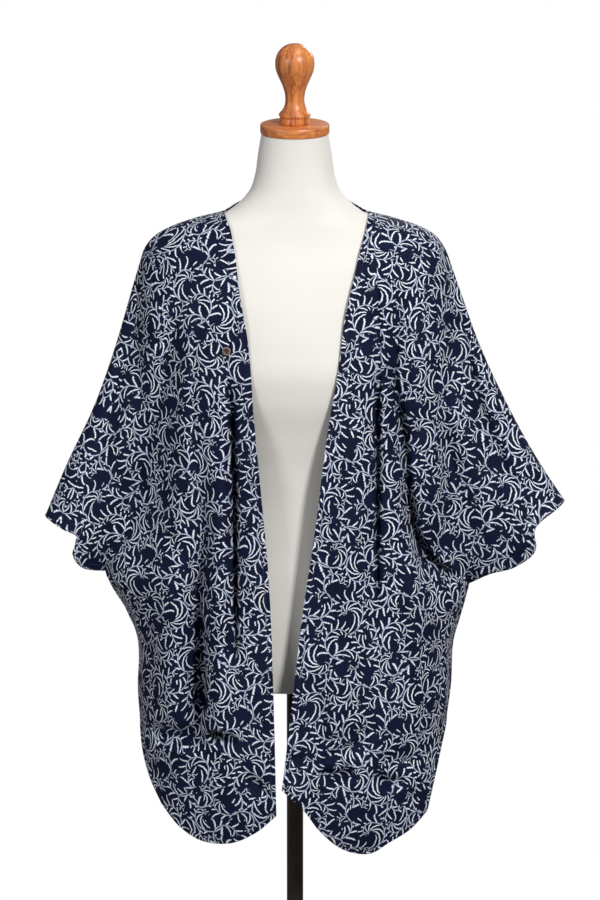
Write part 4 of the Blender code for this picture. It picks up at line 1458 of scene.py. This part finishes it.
def add_jacket(form):
    """The three panels with their hems, stitches, buttonhole and button."""
    cloth, thread, shell = cloth_material(), thread_material(), shell_material()
    faces = [list(p.vertices) for p in form.data.polygons]
    skin = BVHTree.FromPolygons(points_of(form).tolist(), faces)
    grids = (
        ("front_right", -1, lambda creased: front_grid("front_right", RIGHT, creased)),
        ("front_left", -1, lambda creased: front_grid("front_left", LEFT, creased)),
        ("back", 1, back_grid),
    )
    for number, (name, facing, grid) in enumerate(grids):
        points, free = grid(True)
        plain, _ = grid(False)
        points = clear_of_form(wrinkled(points, number), skin)
        panel = Panel(name, points, laid_flat(plain), free, facing)
        wall = cloth_wall(panel, cloth)
        surface = Surface(panel, wall)
        pieces = [hem_stitches(panel, surface, thread)]
        if name == "front_left":
            pieces.append(add_buttonhole(surface, thread))
        if name == "front_right":
            pieces += add_button(shell, thread, surface)
        size, area = flat_size(panel)
        min(area, size[0] * size[1])


def add_floor():
    """A pale round floor."""
    turn = np.linspace(0.0, math.tau, TURNED_SIDES, endpoint=False)
    verts = [(FLOOR_RADIUS * math.cos(a), FLOOR_RADIUS * math.sin(a), 0.0) for a in turn]
    floor = placed("floor", new_mesh("floor", verts, [list(range(len(verts)))], floor_material()))


def add_camera():
    """The photograph's view: from the front and a little above."""
    camera = placed("camera", bpy.data.cameras.new("camera"))
    back = Vector((0, -math.cos(CAMERA_UP), math.sin(CAMERA_UP)))
    camera.location = CAMERA_TARGET + CAMERA_RANGE * back
    camera.rotation_euler = (-back).to_track_quat("-Z", "Y").to_euler()
    camera.data.sensor_fit = "VERTICAL"
    camera.data.sensor_height = SENSOR
    camera.data.lens = SENSOR * CAMERA_RANGE / (PIXEL * PICTURE_HEIGHT)
    bpy.context.scene.camera = camera


def add_light():
    """Four lamps, and a room that looks white but gives little light."""
    for lamp in LAMPS:
        data = bpy.data.lights.new(lamp.name, "AREA")
        data.energy = lamp.power
        data.size = lamp.size
        data.color = lamp.colour
        made = placed(lamp.name, data)
        made.location = lamp.place
        aim = LAMP_TARGET - Vector(lamp.place)
        made.rotation_euler = aim.to_track_quat("-Z", "Y").to_euler()
    world = bpy.data.worlds.new("studio")
    world.use_nodes = True
    background = world.node_tree.nodes["Background"]
    background.inputs[0].default_value = (1.0, 1.0, 1.0, 1.0)
    g = Graph(world.node_tree)
    seen = g.node("ShaderNodeLightPath").outputs["Is Camera Ray"]
    g.put(background.inputs[1], g.times(seen, 1.0 - AMBIENT, plus=AMBIENT))
    bpy.context.scene.world = world
    bpy.context.scene.view_settings.view_transform = "Standard"


add_camera()
add_light()
add_floor()
add_stand()
add_jacket(add_form(linen_material()))
